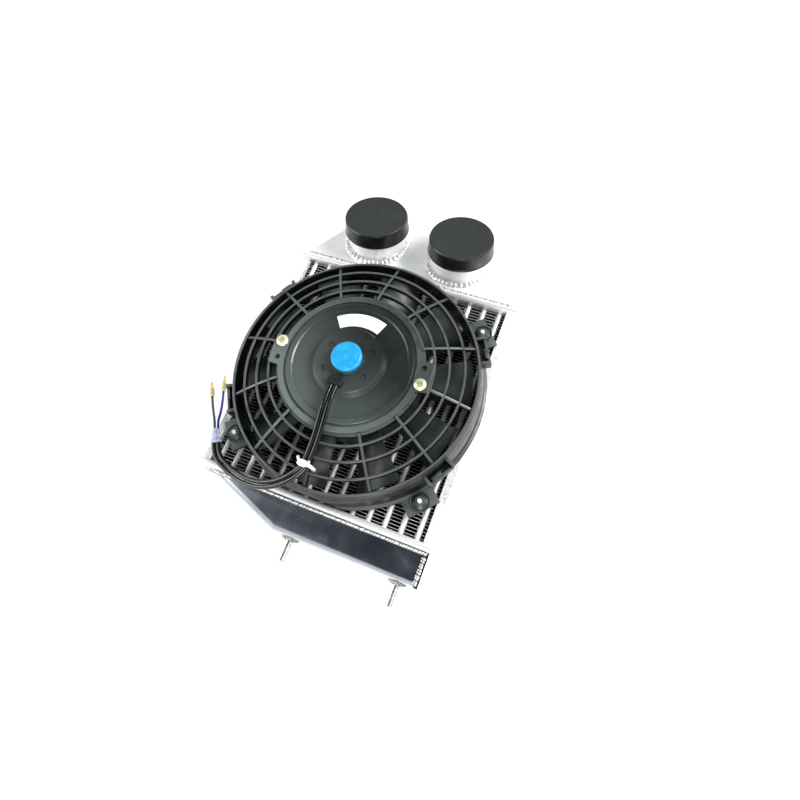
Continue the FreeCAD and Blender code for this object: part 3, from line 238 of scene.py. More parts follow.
def tube_aluminium():
    """Tube edges: painted light on their rounded tops, painted shade down their sides."""
    made = Finish("tube_aluminium", (0.3, 0.31, 0.31), 0.4, metallic=0.2)
    # Painted light: a dark grey base, tinted near white where the surface faces up.
    made.tint(made.facing("Z", 0.05, 0.5), (0.97, 0.97, 0.96))
    made.mottle((0.6, 0.61, 0.61), 0.62, 0.75, 5, detail=5, stretch=(1, 0.4, 1))
    made.rough(made.noise(3), 0.28, 0.5)
    return made.bump(made.noise(0.7, stretch=(1, 0.2, 1)), 0.3, 0.08).material


def fin_aluminium():
    """Folded strip: a painted highlight on its upward-facing cut edges, over folds painted near
    black as shade.
    """
    # Painted shade: the near-black base stands in for shade deep between the fins.
    made = Finish("fin_aluminium", (0.012, 0.014, 0.013), 0.5, metallic=0.2)
    # Painted highlight: faces turned up are tinted near white.
    made.tint(made.facing("Z", 0.4, 0.8), (0.95, 0.96, 0.94))
    made.mottle((0.2, 0.21, 0.2), 0.6, 0.74, 4, detail=5)
    return made.bump(made.noise(0.8), 0.3, 0.05).material


def plate_aluminium():
    """Side plates: sheet speckled with flux."""
    made = Finish("plate_aluminium", (0.93, 0.93, 0.93), 0.45, metallic=0.3)
    made.mottle((0.5, 0.51, 0.51), 0.58, 0.68, 1.3, detail=2)
    made.tint(made.remap(made.cells(2.2), 0.62, 0.9), (0.95, 0.95, 0.95))
    made.rough(made.noise(5), 0.34, 0.6)
    return made.bump(made.noise(1.1, detail=6), 0.4, 0.1).material


def stud_aluminium():
    """The studs: turned bar with fine rings along it."""
    made = Finish("stud_aluminium", (0.6, 0.61, 0.62), 0.28, metallic=0.9)
    wave = made.tree.nodes.new("ShaderNodeTexWave")
    wave.bands_direction = "Y"
    wave.inputs["Scale"].default_value = 0.35
    made.link(made.mapped(), wave.inputs["Vector"])
    made.bump(wave.outputs["Fac"], 0.35, 0.15)
    made.mottle((0.45, 0.46, 0.47), 0.6, 0.72, 3)
    return made.rough(made.noise(4), 0.18, 0.36).material


def cap_rubber():
    """Moulded rubber: matte grained tops painted lighter as painted light, and skirts with a soft
    shine.
    """
    made = Finish("cap_rubber", (0.003, 0.0035, 0.0035), 0.4)
    # Painted light: faces turned up are tinted lighter than the skirts.
    made.tint(made.facing("Z", 0.8, 0.95), (0.011, 0.0145, 0.0135))
    made.mottle((0.021, 0.025, 0.023), 0.55, 0.8, 9, detail=6)
    made.rough(made.facing("Z", 0.7, 0.95), 0.3, 0.7, low=0, high=1)
    made.bump(made.noise(0.7, detail=5), 0.35, 0.12)
    return made.bump(made.noise(9, detail=2), 0.2, 0.3).material


def black_plastic():
    """Injection-moulded nylon with a fine grain and a satin sheen, and a painted highlight on
    faces that turn upwards.
    """
    made = Finish("black_plastic", (0.0025, 0.003, 0.003), 0.34)
    # Painted highlight: faces turned partly up are tinted lighter, and faces turned straight up
    # lighter still.
    made.tint(made.facing("Z", 0.2, 0.6), (0.022, 0.028, 0.026))
    made.tint(made.facing("Z", 0.8, 0.97), (0.085, 0.097, 0.092))
    made.mottle((0.012, 0.015, 0.014), 0.55, 0.8, 12, detail=4)
    made.rough(made.noise(6, detail=5), 0.26, 0.44)
    made.bump(made.noise(0.5, detail=3), 0.22, 0.05)
    return made.bump(made.noise(20, detail=1), 0.15, 0.3).material


def blade_plastic():
    """The rotor's plastic: greyer than the shroud's as painted light on the blades, with streaks
    of mould flow along each blade.
    """
    # Painted light: base and streak colours are lighter than the shroud's plastic to stand in for
    # light on the blades.
    made = Finish("blade_plastic", (0.024, 0.028, 0.027), 0.38)
    made.mottle((0.06, 0.07, 0.067), 0.5, 0.78, 16, detail=5, stretch=(0.4, 1, 1))
    made.rough(made.noise(10, detail=5), 0.3, 0.5)
    made.bump(made.noise(0.6, detail=3), 0.2, 0.05)
    return made.bump(made.noise(14, detail=2), 0.2, 0.4).material


def motor_paint():
    """Dark grey-green paint with orange peel and dust specks, and painted light lightening it
    towards one side.
    """
    made = Finish("motor_paint", (0.006, 0.0085, 0.008), 0.3)
    made.mottle((0.013, 0.018, 0.0165), 0.4, 0.75, 30, detail=3)
    # Painted light: the paint is tinted lighter towards the -X, -Y side.
    made.tint(made.across((-0.55, -0.83, 0), -0.012, 0.06), (0.085, 0.105, 0.098))
    made.tint(made.remap(made.cells(9), 0.04, 0.0), (0.12, 0.14, 0.13))
    made.rough(made.noise(9, detail=6), 0.24, 0.4)
    made.bump(made.noise(1.6, detail=2), 0.2, 0.06)
    return made.bump(made.noise(0.35, detail=2), 0.1, 0.02).material


def flange_paint():
    """The motor's mounting ring: the same paint, made a lighter satin grey as painted light."""
    # Painted light: a lighter copy of the motor's paint, tinted lighter still on faces turned up
    # and towards the -X, -Y side.
    made = Finish("flange_paint", (0.022, 0.028, 0.027), 0.34)
    made.tint(made.facing("Z", 0.7, 0.95), (0.03, 0.037, 0.035))
    made.tint(made.across((-0.55, -0.83, 0), -0.04, 0.06), (0.13, 0.155, 0.145))
    made.mottle((0.07, 0.085, 0.08), 0.5, 0.8, 18, detail=5)
    made.rough(made.noise(7, detail=5), 0.26, 0.44)
    return made.bump(made.noise(1.2, detail=3), 0.2, 0.06).material


def zinc_yellow():
    """Passivated screw heads: gold with an iridescent mottle."""
    made = Finish("zinc_yellow", (0.84, 0.82, 0.5), 0.3, metallic=0.7)
    made.mottle((0.95, 0.94, 0.8), 0.45, 0.65, 2.2, detail=3)
    made.mottle((0.6, 0.56, 0.32), 0.72, 0.82, 1.4, detail=5)
    made.rough(made.noise(1.5), 0.2, 0.4)
    return made.bump(made.noise(0.4), 0.2, 0.03).material


def steel():
    """Ground bar, with its lay along Z."""
    made = Finish("steel", (0.6, 0.6, 0.6), 0.28, metallic=1.0)
    made.mottle((0.42, 0.42, 0.42), 0.55, 0.75, 3, detail=5)
    made.rough(made.noise(2, stretch=(1, 1, 0.1)), 0.2, 0.4)
    return made.bump(made.noise(0.5, stretch=(1, 1, 0.1)), 0.15, 0.03).material


def dark_steel():
    """Laminations, with their edges stacked along the shaft."""
    made = Finish("dark_steel", (0.3, 0.3, 0.31), 0.42, metallic=0.9)
    made.mottle((0.14, 0.14, 0.15), 0.45, 0.6, 0.6, detail=1, stretch=(0.02, 0.02, 1))
    return made.bump(made.noise(0.6, detail=1, stretch=(0.02, 0.02, 1)), 0.5, 0.08).material


def ferrite():
    """Sintered black: matte and grainy."""
    made = Finish("ferrite", (0.05, 0.05, 0.055), 0.6)
    made.mottle((0.13, 0.13, 0.14), 0.55, 0.7, 1.0, detail=5)
    return made.bump(made.noise(0.6, detail=6), 0.5, 0.1).material


def copper():
    """Enamelled turns and bars."""
    made = Finish("copper", (0.72, 0.34, 0.18), 0.3, metallic=1.0)
    made.mottle((0.5, 0.2, 0.1), 0.5, 0.75, 3, detail=4)
    return made.bump(made.noise(0.7, stretch=(1, 1, 0.2)), 0.5, 0.15).material


def brass():
    """Stamped brass with a slight tarnish."""
    made = Finish("brass", (0.86, 0.66, 0.28), 0.24, metallic=1.0)
    made.mottle((0.6, 0.42, 0.16), 0.55, 0.75, 2.5, detail=4)
    made.rough(made.noise(1.2), 0.16, 0.34)
    return made.bump(made.noise(0.6), 0.2, 0.04).material


def board():
    """Brown laminate with a faint weave."""
    made = Finish("board", (0.36, 0.2, 0.1), 0.55)
    made.mottle((0.5, 0.3, 0.16), 0.5, 0.7, 2, detail=6, stretch=(1, 0.2, 1))
    return made.bump(made.noise(0.8, detail=4), 0.3, 0.06).material


def blue_plastic():
    """The motor's dust cap: bright blue, waxy."""
    made = Finish("blue_plastic", (0.01, 0.3, 0.62), 0.36)
    made.mottle((0.03, 0.42, 0.72), 0.45, 0.75, 5, detail=4)
    made.rough(made.noise(4, detail=5), 0.28, 0.46)
    made.bump(made.noise(1.1, detail=3), 0.3, 0.08)
    return made.bump(made.noise(3.5, detail=1), 0.3, 0.25).material


def label_film():
    """A plain white label with a faint lay of fibres."""
    made = Finish("label_film", (0.86, 0.87, 0.88), 0.42)
    made.mottle((0.76, 0.77, 0.78), 0.55, 0.75, 6, detail=6)
    made.rough(made.noise(3), 0.34, 0.55)
    return made.bump(made.noise(0.5, detail=3), 0.2, 0.02).material


def sleeve_plastic():
    """Glossy black sleeving with shallow waves along it."""
    made = Finish("sleeve_plastic", (0.002, 0.002, 0.0022), 0.14)
    made.mottle((0.007, 0.007, 0.0075), 0.55, 0.78, 5, detail=4)
    made.rough(made.noise(3, detail=4), 0.1, 0.26)
    return made.bump(made.noise(4, detail=2), 0.3, 0.15).material


def collar_plastic():
    """Pale lavender shrink tube, half see-through."""
    made = Finish("collar_plastic", (0.66, 0.68, 0.94), 0.28)
    made.set("Transmission Weight", 0.55)
    made.set("IOR", 1.42)
    made.mottle((0.9, 0.9, 0.98), 0.45, 0.7, 2.5, detail=3)
    made.rough(made.noise(2), 0.2, 0.4)
    return made.bump(made.noise(1.6, detail=2), 0.5, 0.2).material


def wire_plastic(name, color, second):
    """Glossy insulation."""
    made = Finish(name, color, 0.24)
    made.set("Coat Weight", 0.4)
    made.set("Coat Roughness", 0.1)
    made.mottle(second, 0.5, 0.72, 3, detail=4)
    made.rough(made.noise(2, detail=3), 0.16, 0.34)
    return made.bump(made.noise(1.5, detail=2), 0.25, 0.08).material


def terminal_plastic():
    """The clear sleeve over a brass terminal, yellow where the metal shows through."""
    made = Finish("terminal_plastic", (0.93, 0.8, 0.42), 0.22)
    made.set("Transmission Weight", 0.35)
    made.set("IOR", 1.45)
    made.mottle((0.98, 0.95, 0.82), 0.45, 0.68, 2.6, detail=3)
    return made.bump(made.noise(1.4, detail=2), 0.4, 0.15).material


def tie_nylon():
    """Natural nylon: milky and slightly see-through."""
    made = Finish("tie_nylon", (0.88, 0.88, 0.86), 0.35)
    made.set("Subsurface Weight", 0.2)
    made.set("Subsurface Radius", (0.002, 0.002, 0.002))
    made.mottle((0.76, 0.76, 0.74), 0.5, 0.75, 2, detail=3)
    made.rough(made.noise(1.5), 0.28, 0.45)
    return made.bump(made.noise(0.8, detail=3), 0.3, 0.06).material


def soft_rubber():
    """The grommet's matte black rubber."""
    made = Finish("soft_rubber", (0.004, 0.004, 0.0045), 0.42)
    made.mottle((0.016, 0.017, 0.017), 0.5, 0.78, 3, detail=5)
    made.rough(made.noise(2), 0.34, 0.55)
    return made.bump(made.noise(0.6, detail=4), 0.35, 0.06).material


FINISHES = {
    "header_aluminium": polished_aluminium(), "tank_aluminium": tank_aluminium(),
    "neck_aluminium": far_aluminium(), "weld_aluminium": weld_aluminium(),
    "tube_aluminium": tube_aluminium(), "fin_aluminium": fin_aluminium(),
    "plate_aluminium": plate_aluminium(), "stud_aluminium": stud_aluminium(),
    "cap_rubber": cap_rubber(), "fan_plastic": black_plastic(), "motor_paint": motor_paint(),
    "screw_zinc": zinc_yellow(), "steel": steel(), "lamination_steel": dark_steel(),
    "ferrite": ferrite(), "copper": copper(), "carbon": ferrite(), "card": board(),
    "blue_plastic": blue_plastic(), "label_film": label_film(), "sleeve_plastic": sleeve_plastic(),
    "collar_plastic": collar_plastic(), "terminal_brass": brass(), "tie_plastic": tie_nylon(),
    "wire_blue_plastic": wire_plastic("wire_blue", (0.012, 0.016, 0.36), (0.03, 0.05, 0.6)),
    "wire_black_plastic": wire_plastic("wire_black", (0.01, 0.01, 0.012), (0.05, 0.05, 0.05)),
    "rubber": soft_rubber(),
}
FAR = far_aluminium()
BLADES = blade_plastic()
TERMINAL_SLEEVE = terminal_plastic()
FLANGE = flange_paint()
STUD_BEAD = stud_bead_metal()
# Painted shade for the gaps between the tanks' weld strokes.
GAP_SHADE_METAL = bead_gap_painted_shade_metal()


def finish_cad_nodes():
    """Gives every CAD node its slot's finish."""
    slots = {item["node"]: item["material_slot"] for item in frame["record"]["subparts"]}
    own = {"far_tank": FAR, "fan_rotor": BLADES, "motor_flange": FLANGE}
    for name, node in frame["nodes"].items():
        finish = own.get(name) or FINISHES[slots[name]]
        node.data.materials.clear()
        node.data.materials.append(finish)


def soften(name, width, angle=32):
    """Rounds a CAD node's sharp edges with modifiers, which leave its own mesh as it is."""
    node = frame["nodes"][name]
    weld = node.modifiers.new("join", "WELD")
    weld.merge_threshold = 1e-6
    bevel = node.modifiers.new("soft_edges", "BEVEL")
    bevel.width = width / 1000
    bevel.segments = 2
    bevel.limit_method = "ANGLE"
    bevel.angle_limit = math.radians(angle)
    bevel.use_clamp_overlap = True
    bevel.harden_normals = True


# ---------------------------------------------------------------- building meshes

def piece(name, points, faces, finish, body="cooler", slot=None, replaces=(), sharp=32):
    """A mesh piece from millimetre points in the core's frame, shaded smooth up to an angle."""
    mesh = bpy.data.meshes.new(name)
    mesh.from_pydata([place(*point) for point in points], [], faces)
    mesh.update()
    work = bmesh.new()
    work.from_mesh(mesh)
    bmesh.ops.remove_doubles(work, verts=work.verts, dist=1e-7)
    bmesh.ops.recalc_face_normals(work, faces=work.faces)
    work.to_mesh(mesh)
    work.free()
    mesh.polygons.foreach_set("use_smooth", [True] * len(mesh.polygons))
    mesh.set_sharp_from_angle(angle=math.radians(sharp))
    mesh.materials.append(finish)
    made = bpy.data.objects.new(name, mesh)
    bpy.context.scene.collection.objects.link(made)
    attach(made, body)
    if replaces:
        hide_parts(*replaces)
    return made


class Mesh:
    """Gathers the points and faces of one piece."""

    def __init__(self):
        self.points = []
        self.faces = []

    def add(self, points, faces, matrix=None):
        first = len(self.points)
        moved = [Vector(point) for point in points]
        self.points += [matrix @ point for point in moved] if matrix else moved
        self.faces += [tuple(first + index for index in face) for face in faces]

    def add_work(self, work, matrix):
        """Takes a working mesh in, and frees it."""
        work.verts.index_update()
        self.add([vert.co for vert in work.verts],
                 [tuple(vert.index for vert in face.verts) for face in work.faces], matrix)
        work.free()

    def make(self, name, finish, **words):
        return piece(name, self.points, self.faces, finish, **words)


def rounded(corners, radius, steps=3):
    """A closed outline with each corner replaced by an arc, as far as its edges allow."""
    made = []
    count = len(corners)
    for index, corner in enumerate(corners):
        here = Vector(corner)
        before = Vector(corners[index - 1]) - here
        after = Vector(corners[(index + 1) % count]) - here
        reach = min(before.length, after.length) * 0.45
        turn = before.angle(after)
        cut = min(radius / math.tan(turn / 2), reach)
        start = here + before.normalized() * cut
        end = here + after.normalized() * cut
        for step in range(steps + 1):
            share = step / steps
            made.append(start.lerp(here, share).lerp(here.lerp(end, share), share))
    return made


def rounded_box(half, low, high, radius, steps=3):
    """A rectangle with rounded corners, from -half to half across and from low to high."""
    return rounded([(-half, low), (half, low), (half, high), (-half, high)], radius, steps)


def lathe(mesh, profile, segments=120, matrix=None):
    """Turns a closed (radius, height) outline about Z. Points on the axis are merged later."""
    count = len(profile)
    points = []
    for step in range(segments):
        angle = 2 * math.pi * step / segments
        points += [(r * math.cos(angle), r * math.sin(angle), z) for r, z in profile]
    faces = []
    for step in range(segments):
        here, there = step * count, (step + 1) % segments * count
        for index in range(count):
            after = (index + 1) % count
            corners = (here + index, there + index, there + after, here + after)
            on_axis = profile[index][0] < 1e-6 and profile[after][0] < 1e-6
            if not on_axis:
                faces.append(corners)
    mesh.add(points, faces, matrix)


def sweep(mesh, line, section, up=Vector((0, 0, 1)), closed=False):
    """Runs a closed (across, up) outline along a line of points, with flat ends."""
    count = len(section)
    points = []
    for index, point in enumerate(line):
        before = line[index - 1] if index or closed else point
        after = line[(index + 1) % len(line)] if index < len(line) - 1 or closed else point
        along = (after - before).normalized()
        across = along.cross(up).normalized()
        rise = across.cross(along)
        points += [point + across * u + rise * v for u, v in section]
    faces = []
    for index in range(len(line) if closed else len(line) - 1):
        here, there = index * count, (index + 1) % len(line) * count
        for corner in range(count):
            after = (corner + 1) % count
            faces.append((here + corner, there + corner, there + after, here + after))
    if not closed:
        faces.append(tuple(range(count)))
        faces.append(tuple((len(line) - 1) * count + corner for corner in reversed(range(count))))
    mesh.add(points, faces)


def block(mesh, size, matrix, edge=0.4):
    """A box with rounded edges, centred on its matrix."""
    work = bmesh.new()
    bmesh.ops.create_cube(work, size=1, matrix=Matrix.Diagonal((*size, 1)))
    bmesh.ops.bevel(work, geom=work.edges[:], offset=edge, segments=2, profile=0.5, affect="EDGES")
    mesh.add_work(work, matrix)


def about_z(angle):
    """A turn about Z, in degrees."""
    return Matrix.Rotation(math.radians(angle), 4, "Z")


def shift(x, y, z):
    return Matrix.Translation((x, y, z))


BEAD_LUMPS, BEAD_ANGLE = 0.07, 80


def scale_bead(mesh, at, along, out, size, lean):
    """One weld scale: a flattened ball on a surface, leaning along or across the seam."""
    side = out.cross(along).normalized()
    axes = Matrix((along, side, out)).transposed().to_4x4()
    work = bmesh.new()
    bmesh.ops.create_icosphere(work, subdivisions=2, radius=1, matrix=Matrix.Diagonal((*size, 1)))
    for vert in work.verts:
        vert.co *= 1 + BEAD_LUMPS * noise.noise(vert.co * 0.9 + at)
    mesh.add_work(work, Matrix.Translation(at) @ axes @ lean)


def rope_seam(mesh, root, start, end, out, width, pitch, swing):
    """A bead laid from point to point in overlapping slanted strokes over a root, which is
    coloured dark as painted shade between the strokes.
    """
    start, end, out = Vector(start), Vector(end), Vector(out).normalized()
    along = (end - start).normalized()
    sides = 12
    oval = [Vector((width * 0.8 * math.cos(turn), width * 0.42 * math.sin(turn)))
            for turn in (2 * math.pi * step / sides for step in range(sides))]
    sweep(root, [start, end], oval, up=out)
    count = max(2, int((end - start).length / pitch))
    for index in range(count):
        wander = random.uniform(-0.2, 0.2)
        at = start.lerp(end, (index + 0.5 + wander) / count)
        lean = Matrix.Rotation(math.radians(swing + random.uniform(-9, 9)), 4, "Z")
        lean = lean @ Matrix.Rotation(math.radians(-14), 4, "Y")
        grow = random.uniform(0.86, 1.12)
        scale_bead(mesh, at, along, out, (width * 1.35 * grow, pitch * 0.44, width * 0.5), lean)


# ---------------------------------------------------------------- fan shroud and grille

DOME_TOP, DOME_RADIUS = 53.4, 185.0
GRILLE_DEPTH, BAR = 5.0, 2.2
RING_RADII = (84.3, 73.0, 62.5)
HUB_INNER, HUB_OUTER, HUB_SEAT = 50.6, 56.2, 43.15
WALL_TOP_RADIUS, WALL_TOP = 96.4, 28.6
WALL_FOOT_RADIUS, WALL_THICKNESS = 98.7, 2.2
LUG_HALF_WIDTH, CLIP_RADIUS = 13.0, 6.0
# Half the distance between the flats where the wall's foot meets the rails.
FOOT_FLAT = 97.6
HOOK_ANGLES = (30, 150, -30, -150)
EAR_ANGLES = (6.75, 186.75)


def dome(radius):
    """The grille's upper surface at a distance from the axis."""
    return DOME_TOP - DOME_RADIUS + math.sqrt(DOME_RADIUS ** 2 - radius ** 2)


def bar_section(width, depth):
    """A grille bar: flat below, rounded on top, its top at height 0."""
    half = width / 2
    return rounded_box(half, -depth, 0, half * 0.8)


def make_shroud_wall():
    """The turned wall with its flared foot, which is cut flat at the rails."""
    base = shroud_high.x * 1000 - ORIGIN.x * 1000
    profile = rounded([
        (base, 0.05), (base, 2.9), (WALL_FOOT_RADIUS, 4.0), (WALL_FOOT_RADIUS - 0.6, 17.5),
        (WALL_TOP_RADIUS + 0.1, 25.0), (WALL_TOP_RADIUS - 1.5, WALL_TOP),
        (WALL_TOP_RADIUS - WALL_THICKNESS, WALL_TOP), (WALL_FOOT_RADIUS - WALL_THICKNESS, 3.0),
        (base - 6, 3.0), (base - 6, 0.05),
    ], 0.9)
    mesh = Mesh()
    lathe(mesh, profile, 192)
    for point in mesh.points:
        point.y = max(-FOOT_FLAT, min(FOOT_FLAT, point.y))
    mesh.make("shroud_wall", FINISHES["fan_plastic"], slot="fan_plastic", replaces=["fan_shroud"])


def make_grille():
    """The domed grille: three rings, the wall's lip, the motor's hub ring and twelve spokes."""
    mesh = Mesh()
    for radius in RING_RADII:
        section = [(radius + u, dome(radius) + v) for u, v in bar_section(BAR, GRILLE_DEPTH)]
        lathe(mesh, section, 160)
    lip = [(WALL_TOP_RADIUS - 1.6 + u, WALL_TOP + 0.3 + v) for u, v in bar_section(2.2, 3.6)]
    lathe(mesh, lip, 192)
    hub = rounded([(HUB_INNER, HUB_SEAT - 4.6), (HUB_OUTER, HUB_SEAT - 5.4), (HUB_OUTER, HUB_SEAT),
                   (HUB_INNER, HUB_SEAT)], 0.7)
    lathe(mesh, hub, 144)
    steps = 10
    stops = [HUB_OUTER - 1.5 + (WALL_TOP_RADIUS - 0.6 - HUB_OUTER) * step / steps
             for step in range(steps + 1)]
    for turn in range(12):
        angle = math.radians(30 * turn)
        heading = Vector((math.cos(angle), math.sin(angle), 0))
        line = [heading * radius + Vector((0, 0, min(dome(radius), HUB_SEAT + 1.6) - 0.1))
                for radius in stops]
        sweep(mesh, line, bar_section(2.5, GRILLE_DEPTH - 0.6))
    mesh.make("grille", FINISHES["fan_plastic"], slot="fan_plastic", replaces=["fan_grille"])


def make_shroud_lugs():
    """The four flat feet, the pads under the motor's ears, and the boxed hooks on the wall."""
    mesh = Mesh()
    low, high = span("fixing_clips")
    rod_x = (high.x - low.x) / 2 - CLIP_RADIUS
    rod_y = (high.y - low.y) / 2 - CLIP_RADIUS
    reach = math.hypot(rod_x, rod_y)
    for side_x in (-1, 1):
        for side_y in (-1, 1):
            turn = about_z(math.degrees(math.atan2(side_y * rod_y, side_x * rod_x)))
            block(mesh, (17.5, 2 * LUG_HALF_WIDTH, 2.8), turn @ shift(105.0, 0, 1.5), 0.5)
            ring = rounded([(CLIP_RADIUS + 0.6, 2.8), (CLIP_RADIUS + 1.8, 2.8),
                            (CLIP_RADIUS + 1.6, 4.0), (CLIP_RADIUS + 0.8, 4.0)], 0.4)
            lathe(mesh, ring, 36, turn @ shift(reach, 0, 0))
    for middle in HOOK_ANGLES:
        for offset in (-6, 6):
            block(mesh, (8.8, 2.6, 9.0), about_z(middle + offset) @ shift(99.8, 0, 18.4), 0.5)
        turn = about_z(middle)
        block(mesh, (2.2, 23.4, 5.4), turn @ shift(102.8, 0, 16.8), 0.5)
        block(mesh, (7.0, 19.0, 1.6), turn @ shift(99.5, 0, 14.8), 0.4)
        block(mesh, (2.6, 8.4, 8.6), turn @ shift(101.2, -3.2, 18.4), 0.5)
    for angle in EAR_ANGLES:
        block(mesh, (9.4, 23.0, 4.6), about_z(angle) @ shift(57.4, 0, 40.8), 0.8)
    mesh.make("shroud_lugs", FINISHES["fan_plastic"], slot="fan_plastic")


# ---------------------------------------------------------------- caps and necks

NECK_TILT = math.radians(15)
NECK_LEAN = Matrix.Rotation(-NECK_TILT, 4, "X")
CAP_TOP_RADIUS, CAP_HEIGHT, CAP_WALL = 27.4, 14.0, 3.0


def make_cap(side):
    """A moulded cap, whose top centre is found from the node's box and the neck's lean."""
    node = "cap_" + side
    low, high = span(node)
    top = Vector(((low.x + high.x) / 2, high.y - CAP_TOP_RADIUS * math.cos(NECK_TILT),
                  high.z - CAP_TOP_RADIUS * math.sin(NECK_TILT)))
    rim = (high.x - low.x) / 2
    bore = rim - CAP_WALL
    profile = rounded([
        (0.0, -3.4), (bore, -3.4), (bore, -CAP_HEIGHT + 0.7), (bore + 0.6, -CAP_HEIGHT + 0.02),
        (rim - 0.5, -CAP_HEIGHT + 0.02), (rim - 0.05, -CAP_HEIGHT + 1.2),
        (rim - 0.55, -CAP_HEIGHT + 2.2), (CAP_TOP_RADIUS - 0.1, -1.4),
        (CAP_TOP_RADIUS - 0.9, -0.1), (CAP_TOP_RADIUS - 2.6, -0.35),
        (CAP_TOP_RADIUS * 0.6, -1.0), (0.0, -1.15),
    ], 0.8, 4)
    profile = [(max(0.0, r), z) for r, z in profile]
    mesh = Mesh()
    lathe(mesh, profile, 144, Matrix.Translation(top) @ NECK_LEAN)
    mesh.make("push_cap_" + side, FINISHES["cap_rubber"], body=node, slot="cap_rubber",
              replaces=[node], sharp=50)


def make_neck_weld(side):
    """A ring of overlapping scales round the foot of a neck."""
    node = "neck_weld_" + side
    low, high = span(node)
    neck_low, neck_high = span("neck_" + side)
    centre = Vector(((low.x + high.x) / 2, (low.y + high.y) / 2, (low.z + high.z) / 2))
    foot = centre - NECK_LEAN.to_3x3() @ Vector((0, 0, 1.9))
    ring = Matrix.Translation(foot) @ NECK_LEAN
    turned = ring.to_3x3()
    outer = (high.x - low.x) / 2
    neck = (neck_high.x - neck_low.x) / 2
    middle = (outer + neck) / 2
    mesh, root = Mesh(), Mesh()
    lathe(root, [(neck - 0.3, 0.0), (outer - 0.4, 0.0), (outer - 0.9, 0.9), (neck + 0.1, 3.7),
                 (neck - 0.3, 3.7)], 96, ring)
    root.make("neck_bead_root_" + side, FINISHES["weld_aluminium"], slot="weld_aluminium")
    count, radius, rise, size = 40, middle + 0.2, 1.7, (2.9, 3.0, 0.8)
    for index in range(count):
        angle = 2 * math.pi * (index + random.uniform(-0.15, 0.15)) / count
        out = Vector((math.cos(angle), math.sin(angle), 0))
        along = Vector((-math.sin(angle), math.cos(angle), 0))
        normal = (Vector((0, 0, 1)) + out * 0.75).normalized()
        at = ring @ (out * radius + Vector((0, 0, rise)))
        tilt = Matrix.Rotation(math.radians(-12 + random.uniform(-3, 3)), 4, "Y")
        scale_bead(mesh, at, turned @ along, turned @ normal, size, about_z(14) @ tilt)
    mesh.make("neck_bead_" + side, FINISHES["weld_aluminium"], slot="weld_aluminium",
              replaces=[node], sharp=BEAD_ANGLE)


# ---------------------------------------------------------------- seams and stud welds

SEAM_TOP, SEAM_FOOT = 3, 106


def corner_seam(mesh, root, x, y, deck, out):
    """A seam down a tank's corner, at distances below its deck."""
    rope_seam(mesh, root, (x, y, deck - SEAM_TOP), (x, y, deck - SEAM_FOOT), out, 1.5, 2.4, 55)


def make_beads(end, mesh, root):
    """The strokes of a tank's seams, and the roots under them, dark with painted shade."""
    mesh.make(end + "_beads", FINISHES["weld_aluminium"], slot="weld_aluminium",
              replaces=[end + "_welds"], sharp=BEAD_ANGLE)
    root.make(end + "_bead_roots", GAP_SHADE_METAL, slot="weld_aluminium")


def make_near_seams():
    """Along the rail, along the end plate's top, and down the end plate's corner."""
    rail_low = span("header_near")[0]
    tank_low, tank_high = span("near_tank")
    plate_low, plate_high = span("near_end_plate")
    deck = tank_high.z
    edge = rail_low.y - 1.6
    left, inset = -90, plate_low.x + 0.2
    mesh, root = Mesh(), Mesh()
    rope_seam(mesh, root, (left, edge, deck + 0.3), (tank_high.x + 1.0, edge, deck + 0.3),
              (0, -0.3, 1), 1.35, 2.1, 38)
    rope_seam(mesh, root, (inset, edge - 2, deck), (inset, tank_low.y + 1.2, deck),
              (0.1, 0, 1), 1.35, 2.0, 76)
    corner_seam(mesh, root, plate_high.x - 0.2, rail_low.y + 0.6, deck, (1, -0.5, 0))
    make_beads("near", mesh, root)


def make_far_seams():
    """Along the rail, and down both corners."""
    rail_high = span("header_far")[1]
    tank_low, tank_high = span("far_tank")
    deck = tank_high.z
    edge = rail_high.y + 0.8
    mesh, root = Mesh(), Mesh()
    rope_seam(mesh, root, (tank_low.x + 4, edge, deck - 0.1), (tank_high.x - 4, edge, deck - 0.1),
              (0, 0.4, 1), 1.7, 2.4, -50)
    for side, x in ((-1, tank_low.x), (1, tank_high.x)):
        corner_seam(mesh, root, x, rail_high.y - 1.0, deck, (side, 0.5, 0))
    make_beads("far", mesh, root)


def make_stud_weld(side):
    """A lumpy pad of weld metal round a stud's foot."""
    node = "stud_weld_" + side
    low, high = span(node)
    centre = Vector(((low.x + high.x) / 2, high.y, (low.z + high.z) / 2))
    reach = (high.x - low.x) / 2 - 0.6
    thick = high.y - low.y
    mesh = Mesh()
    for count, share, rise in ((15, 0.72, 0.9), (11, 0.42, 1.5)):
        for index in range(count):
            angle = 2 * math.pi * (index + random.uniform(-0.2, 0.2)) / count
            out = Vector((math.cos(angle), 0, math.sin(angle)))
            along = Vector((-math.sin(angle), 0, math.cos(angle)))
            at = centre + out * reach * share + Vector((0, -rise, 0))
            normal = (Vector((0, -1, 0)) + out * 0.4).normalized()
            tilt = Matrix.Rotation(math.radians(-18), 4, "Y")
            scale_bead(mesh, at, along, normal, (2.3, 2.2, thick * 0.42), tilt)
    mesh.make("stud_bead_" + side, STUD_BEAD, slot="weld_aluminium", replaces=[node],
              sharp=BEAD_ANGLE)


# ---------------------------------------------------------------- lead

